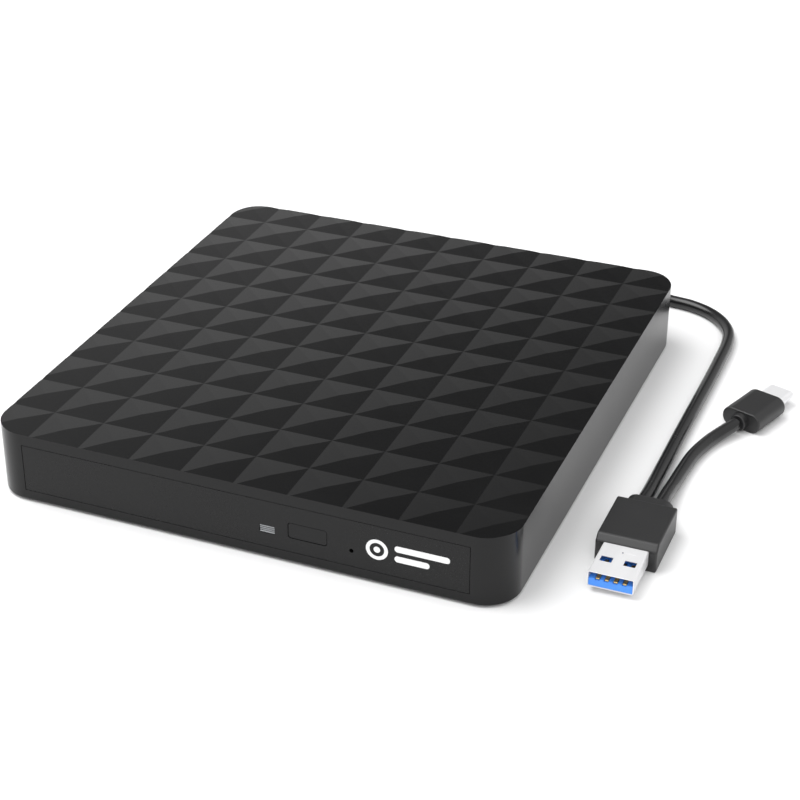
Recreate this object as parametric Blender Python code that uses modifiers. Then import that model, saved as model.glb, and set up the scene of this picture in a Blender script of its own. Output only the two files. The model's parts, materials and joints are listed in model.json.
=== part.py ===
"""External slim optical drive with a captive two-plug USB cord, one object for each part.

Driving dimensions are in millimetres and MM turns them into metres. +X is to the right of
the front panel, +Y runs back into the case, +Z is up, and the floor is at z = 0 under the
rubber feet. The disc tray slides out towards -Y.
"""
import math

import bmesh
import bpy
from mathutils import Matrix, Vector

MM = 0.001
GAP = 0.3                       # clearance between neighbouring parts
FIT = 0.2                       # clearance round a rod or a screw
PAST = 1.0                      # how far a cutter runs past the face that it opens
SHEET = 0.8                     # pressed steel sheet
THROUGH = 6.0                   # length of a round cutter through a thin part
ALONG_ROD = 80.0                # length of a round cutter along a whole rod

# Case
CASE_WIDTH = 149.0
CASE_DEPTH = 160.0
HALF_WIDTH = CASE_WIDTH / 2
HALF_DEPTH = CASE_DEPTH / 2
CASE_CORNER = 9.8               # plan radius of the four upright corners
CASE_RIM = 0.7                  # chamfer around the lid
WALL = 2.0
FOOT_HEIGHT = 0.8               # how far the feet stand below the case
LID_TOP = 21.0                  # level of the valleys between the pyramids
LID_UNDERSIDE = 18.6
BASE_TOP = FOOT_HEIGHT + WALL

# Pyramid pattern of the lid
CELL_WIDTH = 15.2
CELL_DEPTH = 14.94
CELL_RISE = 0.4
PATTERN_X = -61.46              # a valley crossing that fixes the pattern on the lid
PATTERN_Y = 68.36
CELLS_BEFORE = 2                # cells kept outside the first valley crossing
CELLS_ACROSS = 13
CELLS_ALONG = 14

# Feet, case screws and the pads that hold the drive unit
FOOT_RADIUS = 5.0
FOOT_PLACE = (60.0, 66.0)
FOOT_RECESS = 0.5
POST_PLACE = (69.2, 72.0)
POST_RADIUS = 2.6
POST_BOTTOM = 3.9
POST_BORE_TOP = 12.5
SCREW_RADIUS = 1.0
SCREW_TIP = 10.5
SCREW_HEAD_RADIUS = 2.0
SCREW_HEAD_BOTTOM = 1.2
SCREW_HEAD_TOP = 2.1
SCREW_WELL_TOP = 2.6
PAD_RADIUS = 4.0
PAD_X = 52.0
PAD_Y = (-55.0, 30.0)

# Front panel of the tray; pairs are x and z
FRONT_Y = -HALF_DEPTH
BEZEL_WIDTH = 128.0
BEZEL_BOTTOM = 3.7
BEZEL_TOP = 17.7
BEZEL_THICKNESS = 2.0
BUTTON_LOW = (14.6, 8.1)
BUTTON_HIGH = (25.4, 12.6)
BUTTON_TRAVEL = 0.7
BUTTON_SLACK = 0.25
LAMP_LOW = (6.5, 8.0)
LAMP_HIGH = (10.7, 10.1)
LAMP_SLACK = 0.15
LAMP_RIBS = 4
PINHOLE = (32.2, 8.5)           # emergency release hole
PINHOLE_RADIUS = 0.6

# Slim drive unit
UNIT_HALF_WIDTH = 64.0
UNIT_FRONT = FRONT_Y + BEZEL_THICKNESS + GAP
UNIT_BACK = UNIT_FRONT + 126.1
UNIT_BOTTOM = 4.4
UNIT_WALL_TOP = 16.3
UNIT_BEAD_INSET = 10.0
CONNECTOR_HALF_WIDTH = 16.0
CONNECTOR_LOW = 6.5
CONNECTOR_HIGH = 11.6

# Disc tray
SPINDLE = (0.0, -15.0)
TRAY_HALF_WIDTH = 62.4
TRAY_BACK = UNIT_BACK - 2 * SHEET
TRAY_TOP = 14.4
TRAY_SHELF = 9.6                # underside of the tray's side shelves
TRAY_BOTTOM = 5.7
TRAY_KEEL_HALF_WIDTH = 57.4
TRAY_FLOOR_UNDERSIDE = 10.4
DISC_SEAT = 11.9
DISC_RECESS_RADIUS = 60.6
SMALL_DISC_RADIUS = 40.6
SMALL_DISC_STEP = 0.5
HUB_HOLE_RADIUS = 15.2
KEEL_CAVITY_HALF_WIDTH = 55.9
KEEL_CAVITY_FRONT = -74.6
KEEL_CAVITY_BACK = 42.0
UNDER_PLATE_BACK = 30.0
UNDER_PLATE_TOP = TRAY_BOTTOM + 0.5
FINGER_NOTCH_RADIUS = 9.0
SWITCH_ROOM = ((3.0, 6.9), (28.0, 13.2))    # x and z of the hollow behind the button
SWITCH_ROOM_DEPTH = 3.8

# Slides
GUIDE_THICKNESS = 1.2
RAIL_GROOVE = (6.9, 8.1)

# Spindle: motor, rotor with its hub, grip ring and claws
MOTOR_RADIUS = 11.5
MOTOR_TOP = 9.2
MOTOR_RELIEF_RADIUS = 9.0       # opening under the motor in the tray's under plate
ROTOR_RADIUS = 14.2
HUB_RADIUS = 7.3
HUB_TOP = 14.2
RING_INNER, RING_OUTER = 11.9, 13.1
RING_LOW, RING_TOP = 12.0, 12.5
CLAW_COUNT = 3
CLAW_LOW = (5.3, -0.9, 13.1)    # in the claw's own frame, +X outwards
CLAW_HIGH = (7.7, 0.9, 13.7)

# Pickup mechanism, in its own frame: spindle at the origin, +Y outwards along the rods
TRAVERSE_ANGLE = -135.0         # turns that frame's +Y towards the front right corner
LENS_AT_REST = 24.0             # distance of the lens from the spindle
SLED_TRAVEL = 34.0
SLED_HALF_WIDTH = 12.9
SLED_INNER = LENS_AT_REST - 9.4 # beside the rotor, never over it
SLED_OUTER = LENS_AT_REST + 7.0
SLED_BOTTOM = 7.6
SLED_TOP = 10.1
NOSE_HALF_WIDTH = 8.7           # the sled's nose passes between the rod holders
ROD_X = 11.0
ROD_Z = 9.1
ROD_RADIUS = 1.0
HOLDER_Y = (9.0, 61.5)
HOLDER_LENGTH = 2.2
HOLDER_HALF_WIDTH = 1.8
HOLDER_TOP = 10.2
LEAD_X = 16.0
LEAD_Z = 8.95
LEAD_RADIUS = 0.9
SLED_MOTOR_Y = (9.0, 18.4)
SLED_MOTOR_HALF = 2.9
FRAME_BOTTOM = UNDER_PLATE_TOP + GAP
FRAME_TOP = 7.3
FRAME_OUTER = 66.0
LENS_HOLDER_HALF = 3.6
LENS_HOLDER_LOW, LENS_HOLDER_TOP = 9.8, 11.0
LENS_RADIUS = 1.95

# Latch and boards
LATCH_PIVOT = (-43.0, 33.5)
LATCH_PIVOT_RADIUS = 0.5
LATCH_PIVOT_LENGTH = 4.0
LATCH_PIN = (-38.0, 43.0)
LATCH_LOW, LATCH_HIGH = 6.9, 8.3
BOARD = 0.8                     # thickness of the boards in the tray
CONTROL_BOARD = ((-50.0, 2.0), (-18.0, 28.0))
CONTROL_CHIP = ((-40.0, 8.0), (-28.0, 20.0))
RIBBON = (-14.0, -2.0)
BRIDGE_BOARD = ((-30.0, 53.6), (40.0, 74.0))
BRIDGE_BOTTOM = 5.9
BRIDGE_TOP = 6.9
BRIDGE_CHIP = ((8.0, 61.0), (16.0, 69.0))
BOARD_SUPPORT_X = (-24.0, 30.0)
BOARD_SUPPORT_Y = 66.0
BOARD_SUPPORT_RADIUS = 2.2

# Cord and its strain relief
CORD_RADIUS = 1.9
CORD_STEP = 6.5                 # spacing of the points along a cord
EXIT_X = 46.0
EXIT_Z = 7.2
OUTLET_RADIUS = 3.6
RELIEF_ROOT_RADIUS = 3.3
RELIEF_TIP_RADIUS = 2.3
RELIEF_TIP_Y = 86.0
RELIEF_COLLAR_HALF = (4.6, 3.9)
MAIN_ROUTE = [
    (46.0, 86.5, 7.2), (46.0, 90.2, 7.15), (47.4, 94.6, 6.3), (51.6, 98.4, 4.6),
    (58.6, 100.2, 2.8), (68.6, 100.0, 1.9), (75.6, 98.9, 1.9), (82.0, 96.0, 1.9),
    (87.3, 91.1, 1.9), (90.8, 84.6, 1.9), (92.1, 76.8, 1.9), (92.4, 66.0, 1.9),
    (92.5, 52.0, 1.9), (92.4, 37.0, 1.9), (92.3, 21.0, 1.9), (92.3, 5.0, 1.9),
    (92.4, -7.0, 2.2), (92.7, -15.5, 3.2), (92.8, -20.5, 3.8), (92.8, -23.9, 3.9),
]
PIGTAIL_ROUTE = [
    (97.6, -23.9, 3.9), (97.6, -20.5, 3.8), (97.5, -15.5, 3.2), (97.6, -8.5, 2.3),
    (97.9, 0.0, 1.9), (98.7, 9.0, 1.9), (100.8, 17.5, 2.0), (103.6, 23.6, 2.6),
    (105.4, 27.0, 2.95), (105.9, 28.3, 3.0),
]

# Type A plug; its standard shell is 12 by 4.5 mm
USB_A_X = 95.2
USB_A_FRONT = -48.2             # front face of the overmould
USB_A_BACK = -28.4
USB_A_COLLAR_BACK = -24.2
USB_A_COLLAR_HALF = (6.2, 2.9)
USB_A_WIDTH = 15.8
USB_A_HEIGHT = 7.8
SHELL_WALL = 0.35
SHELL_SLACK = 0.15
SHELL_A = (12.0, 4.5)
SHELL_A_LENGTH = 14.2
SHELL_A_HELD = 3.2              # length of shell inside the overmould
WINDOW_A = (2.7, 2.0)
WINDOW_A_X = (-3.0, 3.0)
WINDOW_A_Y = 5.6
TONGUE_A_THICKNESS = 1.9
CONTACT_A_X = (-3.5, -1.15, 1.15, 3.5)
CONTACT_A_HALF = 0.55
CONTACT_A_Y = (0.9, 9.6)

# Type C plug, in its own frame: back of the overmould at the origin, +Y towards the tip
USB_C_BACK = (106.9, 30.9)
USB_C_ANGLE = -18.8
USB_C_LENGTH = 14.4
USB_C_SIZE = (12.2, 6.0)
USB_C_CORNER = 2.9              # nearly half the height, so the sides are round
USB_C_NECK = 2.6
USB_C_NECK_RADIUS = 2.5
SHELL_C = (8.34, 2.56)
SHELL_C_LENGTH = 8.2            # longer than the usual 6.65, so the tip stands further out
SHELL_C_HELD = 2.6
SHELL_C_CORNER = 1.25
MOUTH_C_HALF = 0.42

MATERIALS = {                   # colour, roughness, metallic
    "case_plastic": ((0.012, 0.012, 0.013), 0.34, 0.0),
    "tray_plastic": ((0.016, 0.016, 0.017), 0.42, 0.0),
    "panel_plastic": ((0.012, 0.012, 0.013), 0.36, 0.0),
    "lamp_plastic": ((0.55, 0.56, 0.58), 0.30, 0.0),
    "foot_rubber": ((0.020, 0.020, 0.021), 0.85, 0.0),
    "sheet_steel": ((0.56, 0.57, 0.58), 0.35, 1.0),
    "bright_steel": ((0.75, 0.75, 0.76), 0.18, 1.0),
    "screw_steel": ((0.18, 0.18, 0.19), 0.40, 1.0),
    "motor_steel": ((0.60, 0.60, 0.60), 0.30, 1.0),
    "zinc_casting": ((0.42, 0.42, 0.44), 0.50, 1.0),
    "slide_plastic": ((0.70, 0.69, 0.66), 0.45, 0.0),
    "hub_plastic": ((0.03, 0.03, 0.03), 0.40, 0.0),
    "lens_glass": ((0.20, 0.35, 0.55), 0.05, 0.0),
    "board_green": ((0.01, 0.10, 0.05), 0.45, 0.0),
    "chip_black": ((0.01, 0.01, 0.01), 0.55, 0.0),
    "flex_brown": ((0.38, 0.19, 0.04), 0.40, 0.0),
    "cord_black": ((0.010, 0.010, 0.010), 0.30, 0.0),
    "plug_black": ((0.014, 0.014, 0.015), 0.45, 0.0),
    "plug_nickel": ((0.80, 0.80, 0.80), 0.22, 1.0),
    "tongue_blue": ((0.03, 0.22, 0.75), 0.40, 0.0),
    "contact_gold": ((0.83, 0.58, 0.24), 0.25, 1.0),
}

for leftover in list(bpy.data.objects):
    bpy.data.objects.remove(leftover, do_unlink=True)


def new_collection(name):
    """A collection linked to the scene."""
    collection = bpy.data.collections.new(name)
    bpy.context.scene.collection.children.link(collection)
    return collection


PARTS = new_collection("external_optical_drive")
CUTTERS = new_collection("cutters")


def material(name):
    """The Principled material of that name, made on first use."""
    if name in bpy.data.materials:
        return bpy.data.materials[name]
    colour, roughness, metallic = MATERIALS[name]
    made = bpy.data.materials.new(name)
    made.use_nodes = True
    shader = made.node_tree.nodes["Principled BSDF"]
    shader.inputs["Base Color"].default_value = (*colour, 1.0)
    shader.inputs["Roughness"].default_value = roughness
    shader.inputs["Metallic"].default_value = metallic
    return made


def new_object(name, data, finish, origin, parent):
    """Links a mesh or curve at `origin` (millimetres); no finish makes it a cutter."""
    made = bpy.data.objects.new(name, data)
    made.location = Vector(origin) * MM
    made.parent = parent
    if finish:
        data.materials.append(material(finish))
        PARTS.objects.link(made)
    else:
        CUTTERS.objects.link(made)
        made.hide_render = True
        made.display_type = "WIRE"
    return made


def object_from_bmesh(name, shape, finish, origin, parent):
    """Turns a bmesh drawn in millimetres into an object whose origin is `origin`."""
    shift = Matrix.Translation(-Vector(origin))
    shape.transform(Matrix.Scale(MM, 4) @ shift)
    mesh = bpy.data.meshes.new(name)
    shape.to_mesh(mesh)
    shape.free()
    return new_object(name, mesh, finish, origin, parent)


def middle(low, high):
    """Halfway between two points."""
    return tuple((a + b) / 2 for a, b in zip(low, high))


def block(name, low, high, finish=None, corner=0.0, along="Z", steps=5, origin=None, parent=None):
    """A box between two corners, with the four edges along one axis rounded."""
    shape = bmesh.new()
    bmesh.ops.create_cube(shape, size=1.0)
    size = Vector(high) - Vector(low)
    shape.transform(Matrix.Translation(middle(low, high)) @ Matrix.Diagonal((*size, 1.0)))
    if corner:
        axis = "XYZ".index(along)
        edges = [edge for edge in shape.edges
                 if abs((edge.verts[0].co - edge.verts[1].co)[axis]) > size[axis] / 2]
        bmesh.ops.bevel(shape, geom=edges, offset=corner, segments=steps, profile=0.5,
                        affect="EDGES")
    return object_from_bmesh(name, shape, finish, origin or middle(low, high), parent)


def rod(name, centre, radius, length, finish=None, along="Z", sides=24, parent=None,
        tip_radius=None):
    """A cylinder or cone centred on a point."""
    shape = bmesh.new()
    bmesh.ops.create_cone(shape, cap_ends=True, segments=sides, radius1=radius,
                          radius2=radius if tip_radius is None else tip_radius, depth=length)
    turn = {"X": Matrix.Rotation(math.pi / 2, 4, "Y"),
            "Y": Matrix.Rotation(-math.pi / 2, 4, "X"),
            "Z": Matrix.Identity(4)}[along]
    shape.transform(Matrix.Translation(centre) @ turn)
    return object_from_bmesh(name, shape, finish, centre, parent)


def turned(name, profile, centre, finish, steps=32, parent=None):
    """A solid of revolution about Z: `profile` holds (radius, z), both ends on the axis."""
    shape = bmesh.new()
    corners = [shape.verts.new((radius, 0.0, z)) for radius, z in profile]
    for first, second in zip(corners, corners[1:]):
        shape.edges.new((first, second))
    shape.transform(Matrix.Translation((centre[0], centre[1], 0.0)))
    made = object_from_bmesh(name, shape, finish, (centre[0], centre[1], 0.0), parent)
    screw = made.modifiers.new("turn", "SCREW")
    screw.steps = steps
    screw.render_steps = steps
    screw.use_merge_vertices = True
    screw.merge_threshold = 0.00001
    return made


def bevel(target, width, segments=2):
    """Rounds the sharp edges of a part."""
    modifier = target.modifiers.new("bevel", "BEVEL")
    modifier.width = width * MM
    modifier.segments = segments
    modifier.limit_method = "ANGLE"
    modifier.angle_limit = math.radians(40)
    return target


def combine(target, others, operation="DIFFERENCE"):
    """Adds one exact Boolean for each of the other solids."""
    for other in others:
        modifier = target.modifiers.new(other.name, "BOOLEAN")
        modifier.operation = operation
        modifier.solver = "EXACT"
        modifier.object = other
    return target


def empty(name, origin, degrees):
    """A frame on the floor plan that parts are drawn in."""
    made = bpy.data.objects.new(name, None)
    PARTS.objects.link(made)
    made.location = Vector(origin) * MM
    made.rotation_euler.z = math.radians(degrees)
    return made


def smooth_path(route, step):
    """Points at an even spacing on a Catmull-Rom curve through the route."""
    knots = [Vector(point) for point in route]
    knots = [2 * knots[0] - knots[1]] + knots + [2 * knots[-1] - knots[-2]]
    fine = []
    samples = 24
    for index in range(1, len(knots) - 2):
        before, start, end, after = knots[index - 1:index + 3]
        for count in range(samples):
            t = count / samples
            fine.append(0.5 * (2 * start + (end - before) * t
                               + (2 * before - 5 * start + 4 * end - after) * t * t
                               + (3 * start - before - 3 * end + after) * t ** 3))
    fine.append(knots[-2])
    lengths = [0.0]
    for first, second in zip(fine, fine[1:]):
        lengths.append(lengths[-1] + (second - first).length)
    pieces = round(lengths[-1] / step)
    points = []
    index = 0
    for count in range(pieces + 1):
        wanted = lengths[-1] * count / pieces
        while index < len(fine) - 2 and lengths[index + 1] < wanted:
            index += 1
        share = (wanted - lengths[index]) / (lengths[index + 1] - lengths[index])
        points.append(fine[index].lerp(fine[index + 1], share))
    return points


def cord(name, route):
    """A round cord along a smooth curve through its route."""
    curve = bpy.data.curves.new(name, "CURVE")
    curve.dimensions = "3D"
    curve.bevel_depth = CORD_RADIUS * MM
    curve.bevel_resolution = 2
    curve.use_fill_caps = True
    points = smooth_path(route, CORD_STEP)
    spline = curve.splines.new("POLY")
    spline.points.add(len(points) - 1)
    for target, point in zip(spline.points, points):
        target.co = (*(point - points[0]) * MM, 1.0)
    return new_object(name, curve, "cord_black", points[0], None)


def four_corners(x, y):
    """Names and places of a piece that repeats in the four corners of the case."""
    for side, sign_x in (("left", -1), ("right", 1)):
        for end, sign_y in (("front", -1), ("rear", 1)):
            yield f"{end}_{side}", sign_x * x, sign_y * y


def traverse_block(name, low, high, corner=0.0):
    """A cutter or an addition drawn in the pickup mechanism's frame."""
    return block(name, low, high, corner=corner, parent=TRAVERSE)


def pyramid_slab():
    """A thick slab whose top is the lid's field of low pyramids."""
    shape = bmesh.new()
    bmesh.ops.create_grid(shape, x_segments=CELLS_ACROSS, y_segments=CELLS_ALONG, size=0.5)
    size = Vector((CELLS_ACROSS * CELL_WIDTH, CELLS_ALONG * CELL_DEPTH, 1.0))
    left = PATTERN_X - CELLS_BEFORE * CELL_WIDTH
    back = PATTERN_Y + CELLS_BEFORE * CELL_DEPTH
    centre = (left + size.x / 2, back - size.y / 2, LID_TOP)
    shape.transform(Matrix.Translation(centre) @ Matrix.Diagonal((*size, 1.0)))
    rim = [edge for edge in shape.edges if edge.is_boundary]
    walls = bmesh.ops.extrude_edge_only(shape, edges=rim)["geom"]
    low_edges = [item for item in walls if isinstance(item, bmesh.types.BMEdge) and item.is_boundary]
    for vertex in {vertex for edge in low_edges for vertex in edge.verts}:
        vertex.co.z = -PAST
    bmesh.ops.edgeloop_fill(shape, edges=low_edges)
    bmesh.ops.recalc_face_normals(shape, faces=shape.faces[:])
    cells = [face for face in shape.faces if face.normal.z > 0.5]
    bmesh.ops.poke(shape, faces=cells, offset=CELL_RISE)
    return object_from_bmesh("pyramid_slab", shape, None, (0.0, 0.0, 0.0), None)


def make_top_cover():
    """Lid and side walls in one moulding, with the front opening and the screw posts."""
    cover = block("top_cover", (-HALF_WIDTH, -HALF_DEPTH, FOOT_HEIGHT),
                  (HALF_WIDTH, HALF_DEPTH, LID_TOP + CELL_RISE), "case_plastic", corner=CASE_CORNER,
                  steps=8, origin=(0.0, 0.0, LID_TOP))
    rim = cover.modifiers.new("rim", "BEVEL")
    rim.width = (CASE_RIM + CELL_RISE) * MM
    rim.segments = 1
    rim.limit_method = "VGROUP"
    rim.vertex_group = "rim"
    top = [vertex.index for vertex in cover.data.vertices if vertex.co.z > 0]
    cover.vertex_groups.new(name="rim").add(top, 1.0, "REPLACE")
    combine(cover, [pyramid_slab()], "INTERSECT")
    inside = block("case_hollow", (WALL - HALF_WIDTH, WALL - HALF_DEPTH, -PAST),
                   (HALF_WIDTH - WALL, HALF_DEPTH - WALL, LID_UNDERSIDE), corner=CASE_CORNER - WALL,
                   steps=6)
    opening = block("bezel_opening", (-BEZEL_WIDTH / 2 - GAP, FRONT_Y - PAST, BEZEL_BOTTOM - GAP),
                    (BEZEL_WIDTH / 2 + GAP, FRONT_Y + WALL + GAP, BEZEL_TOP + GAP))
    outlet = rod("cord_outlet", (EXIT_X, HALF_DEPTH - WALL / 2, EXIT_Z), OUTLET_RADIUS, WALL + 2 * PAST,
                 along="Y")
    combine(cover, [inside, opening, outlet])
    post_top = LID_UNDERSIDE + GAP
    for place, x, y in four_corners(*POST_PLACE):
        post = rod(f"post_{place}", (x, y, (POST_BOTTOM + post_top) / 2), POST_RADIUS,
                   post_top - POST_BOTTOM, sides=16)
        combine(cover, [post], "UNION")
        bore_bottom = POST_BOTTOM - PAST
        bore = rod(f"post_bore_{place}", (x, y, (bore_bottom + POST_BORE_TOP) / 2), SCREW_RADIUS + GAP,
                   POST_BORE_TOP - bore_bottom, sides=12)
        combine(cover, [bore])


def make_bottom_cover():
    """Flat base that closes the case from below, with its pads, board supports and screw wells."""
    inset = WALL + GAP
    base = block("bottom_cover", (inset - HALF_WIDTH, inset - HALF_DEPTH, FOOT_HEIGHT),
                 (HALF_WIDTH - inset, HALF_DEPTH - inset, BASE_TOP), "case_plastic",
                 corner=CASE_CORNER - inset, steps=6)
    inside = BASE_TOP - GAP                     # stands are sunk this deep into the base
    stands = [("unit_pad", x, y, PAD_RADIUS, UNIT_BOTTOM - GAP) for x in (-PAD_X, PAD_X) for y in PAD_Y]
    stands += [("board_support", x, BOARD_SUPPORT_Y, BOARD_SUPPORT_RADIUS, BRIDGE_BOTTOM - GAP)
               for x in BOARD_SUPPORT_X]
    stands += [("boss", x, y, POST_RADIUS, POST_BOTTOM - GAP) for _, x, y in four_corners(*POST_PLACE)]
    for number, (kind, x, y, radius, top) in enumerate(stands):
        stand = rod(f"{kind}_{number}", (x, y, (inside + top) / 2), radius, top - inside, sides=16)
        combine(base, [stand], "UNION")
    for x in BOARD_SUPPORT_X:
        pilot = rod(f"support_bore_{x:.0f}", (x, BOARD_SUPPORT_Y, BRIDGE_BOTTOM), SCREW_RADIUS + FIT,
                    2 * (BRIDGE_BOTTOM - BASE_TOP), sides=12)
        combine(base, [pilot])
    for place, x, y in four_corners(*POST_PLACE):
        hole = rod(f"screw_hole_{place}", (x, y, POST_BOTTOM / 2), SCREW_RADIUS + GAP, POST_BOTTOM + PAST,
                   sides=12)
        well = rod(f"screw_well_{place}", (x, y, SCREW_WELL_TOP / 2), SCREW_HEAD_RADIUS + GAP,
                   SCREW_WELL_TOP, sides=16)
        combine(base, [hole, well])
    for place, x, y in four_corners(*FOOT_PLACE):
        recess = rod(f"foot_recess_{place}", (x, y, FOOT_HEIGHT), FOOT_RADIUS + GAP, 2 * FOOT_RECESS,
                     sides=32)
        combine(base, [recess])


def make_feet_and_screws():
    """Rubber feet in their recesses and the case screws in their wells."""
    foot_top = FOOT_HEIGHT + FOOT_RECESS - GAP
    edge = 0.4                                  # chamfer round the bottom of a foot
    foot = [(0.0, foot_top), (FOOT_RADIUS, foot_top), (FOOT_RADIUS, edge), (FOOT_RADIUS - edge, 0.0),
            (0.0, 0.0)]
    for place, x, y in four_corners(*FOOT_PLACE):
        turned(f"rubber_foot_{place}", foot, (x, y), "foot_rubber", steps=24)
    screw = [(0.0, SCREW_TIP), (SCREW_RADIUS, SCREW_TIP - FIT), (SCREW_RADIUS, SCREW_HEAD_TOP + FIT),
             (SCREW_HEAD_RADIUS, SCREW_HEAD_TOP), (SCREW_HEAD_RADIUS, SCREW_HEAD_BOTTOM + GAP),
             (SCREW_HEAD_RADIUS - 0.5, SCREW_HEAD_BOTTOM), (0.0, SCREW_HEAD_BOTTOM)]
    slot_depth = 0.5
    for place, x, y in four_corners(*POST_PLACE):
        made = turned(f"cover_screw_{place}", screw, (x, y), "screw_steel", steps=16)
        slots = [block(f"drive_slot_{place}_{number}", (x - a, y - b, SCREW_HEAD_BOTTOM - slot_depth),
                       (x + a, y + b, SCREW_HEAD_BOTTOM + slot_depth))
                 for number, (a, b) in enumerate(((1.0, 0.25), (0.25, 1.0)))]
        combine(made, slots)


def make_unit_housing():
    """Pressed pan and lid of the slim drive unit, with its connector at the back."""
    half = UNIT_HALF_WIDTH
    pan = block("unit_pan", (-half, UNIT_FRONT, UNIT_BOTTOM), (half, UNIT_BACK, UNIT_WALL_TOP),
                "sheet_steel", corner=SHEET, steps=2)
    hollow = block("pan_hollow", (SHEET - half, UNIT_FRONT - PAST, UNIT_BOTTOM + SHEET),
                   (half - SHEET, UNIT_BACK - SHEET, UNIT_WALL_TOP + PAST))
    slot = block("connector_slot", (-CONNECTOR_HALF_WIDTH - GAP, UNIT_BACK - 2 * SHEET, CONNECTOR_LOW - GAP),
                 (CONNECTOR_HALF_WIDTH + GAP, UNIT_BACK + PAST, CONNECTOR_HIGH + GAP))
    combine(pan, [hollow, slot])
    low = UNIT_WALL_TOP + GAP
    lid = block("unit_lid", (-half, UNIT_FRONT, low), (half, UNIT_BACK, low + SHEET), "sheet_steel",
                corner=1.5, steps=3)
    bead_half = half - UNIT_BEAD_INSET
    bead = block("lid_bead", (-bead_half, UNIT_FRONT + UNIT_BEAD_INSET, low + SHEET / 2),
                 (bead_half, UNIT_BACK - UNIT_BEAD_INSET, low + 1.5 * SHEET), corner=12.0, steps=5)
    combine(lid, [bead], "UNION")
    mouth_inset, mouth_depth = 1.5, 3.8
    outer = UNIT_BACK + 4.2
    plug = block("unit_connector", (-CONNECTOR_HALF_WIDTH, UNIT_BACK - 1.2, CONNECTOR_LOW),
                 (CONNECTOR_HALF_WIDTH, outer, CONNECTOR_HIGH), "chip_black")
    mouth = block("connector_mouth",
                  (mouth_inset - CONNECTOR_HALF_WIDTH, outer - mouth_depth, CONNECTOR_LOW + 1.2),
                  (CONNECTOR_HALF_WIDTH - mouth_inset, outer + PAST, CONNECTOR_HIGH - 1.2))
    combine(plug, [mouth])


def make_slides():
    """Fixed guides on the pan's walls and the telescoping rails inside them."""
    guide_out = UNIT_HALF_WIDTH - SHEET - GAP
    rail_out = guide_out - GUIDE_THICKNESS - GAP
    rail_in = TRAY_KEEL_HALF_WIDTH + GAP
    low = UNIT_BOTTOM + SHEET + GAP
    high = TRAY_SHELF - GAP
    for side, sign in (("left", -1), ("right", 1)):
        near, far = sorted((sign * (guide_out - GUIDE_THICKNESS), sign * guide_out))
        guide = block(f"slide_guide_{side}", (near, UNIT_FRONT + 1.0, low), (far, TRAY_BACK - 1.0, high),
                      "slide_plastic")
        bevel(guide, 0.25, 1)
        near, far = sorted((sign * rail_in, sign * rail_out))
        rail_front, rail_back = UNIT_FRONT + 1.5, TRAY_BACK - 3.0
        rail = block(f"slide_rail_{side}", (near, rail_front, low + GAP), (far, rail_back, high - FIT),
                     "bright_steel")
        near, far = sorted((sign * (rail_out - GUIDE_THICKNESS), sign * (rail_out + PAST)))
        end = 2.5                               # solid steel left at each end of the groove
        groove = block(f"rail_groove_{side}", (near, rail_front + end, RAIL_GROOVE[0]),
                       (far, rail_back - end, RAIL_GROOVE[1]))
        combine(rail, [groove])


def tray_cutters():
    """Everything that is cut out of the disc tray."""
    recess_top, wide = TRAY_TOP + PAST, 2 * PAST
    recess = rod("disc_recess", (*SPINDLE, (DISC_SEAT + recess_top) / 2), DISC_RECESS_RADIUS,
                 recess_top - DISC_SEAT, sides=72)
    small_low, small_high = DISC_SEAT - SMALL_DISC_STEP, DISC_SEAT + PAST
    inner = rod("small_disc_recess", (*SPINDLE, (small_low + small_high) / 2), SMALL_DISC_RADIUS,
                small_high - small_low, sides=48)
    cavity = block("keel_cavity", (-KEEL_CAVITY_HALF_WIDTH, KEEL_CAVITY_FRONT, TRAY_BOTTOM - PAST),
                   (KEEL_CAVITY_HALF_WIDTH, KEEL_CAVITY_BACK, TRAY_FLOOR_UNDERSIDE), corner=2.0, steps=3)
    hub_hole = rod("turntable_hole", (*SPINDLE, DISC_SEAT), HUB_HOLE_RADIUS, THROUGH, sides=40)
    window_half = SLED_HALF_WIDTH + 0.7
    window_end = FRAME_OUTER - 7.0
    window = traverse_block("pickup_window", (-window_half, 0.0, TRAY_FLOOR_UNDERSIDE - PAST),
                            (window_half, window_end, DISC_SEAT + PAST), corner=3.0)
    lens_room = traverse_block("lens_room", (-7.0, window_end - 3.0, TRAY_FLOOR_UNDERSIDE - PAST),
                               (7.0, FRAME_OUTER - PAST, DISC_SEAT + FIT))
    latch_notch = block("latch_notch", (LATCH_PIVOT[0] - 7.0, KEEL_CAVITY_BACK - wide, TRAY_BOTTOM - PAST),
                        (LATCH_PIN[0] + 3.0, TRAY_BACK + wide, TRAY_FLOOR_UNDERSIDE - 0.6))
    (left, low), (right, high) = SWITCH_ROOM
    switch_room = block("switch_room", (left, UNIT_FRONT - PAST, low),
                        (right, UNIT_FRONT + SWITCH_ROOM_DEPTH, high))
    thumb = rod("finger_notch", (SPINDLE[0], SPINDLE[1] - DISC_RECESS_RADIUS, TRAY_TOP + 1.2),
                FINGER_NOTCH_RADIUS, 4.0)
    return [recess, inner, cavity, hub_hole, window, lens_room, latch_notch, switch_room, thumb]


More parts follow.
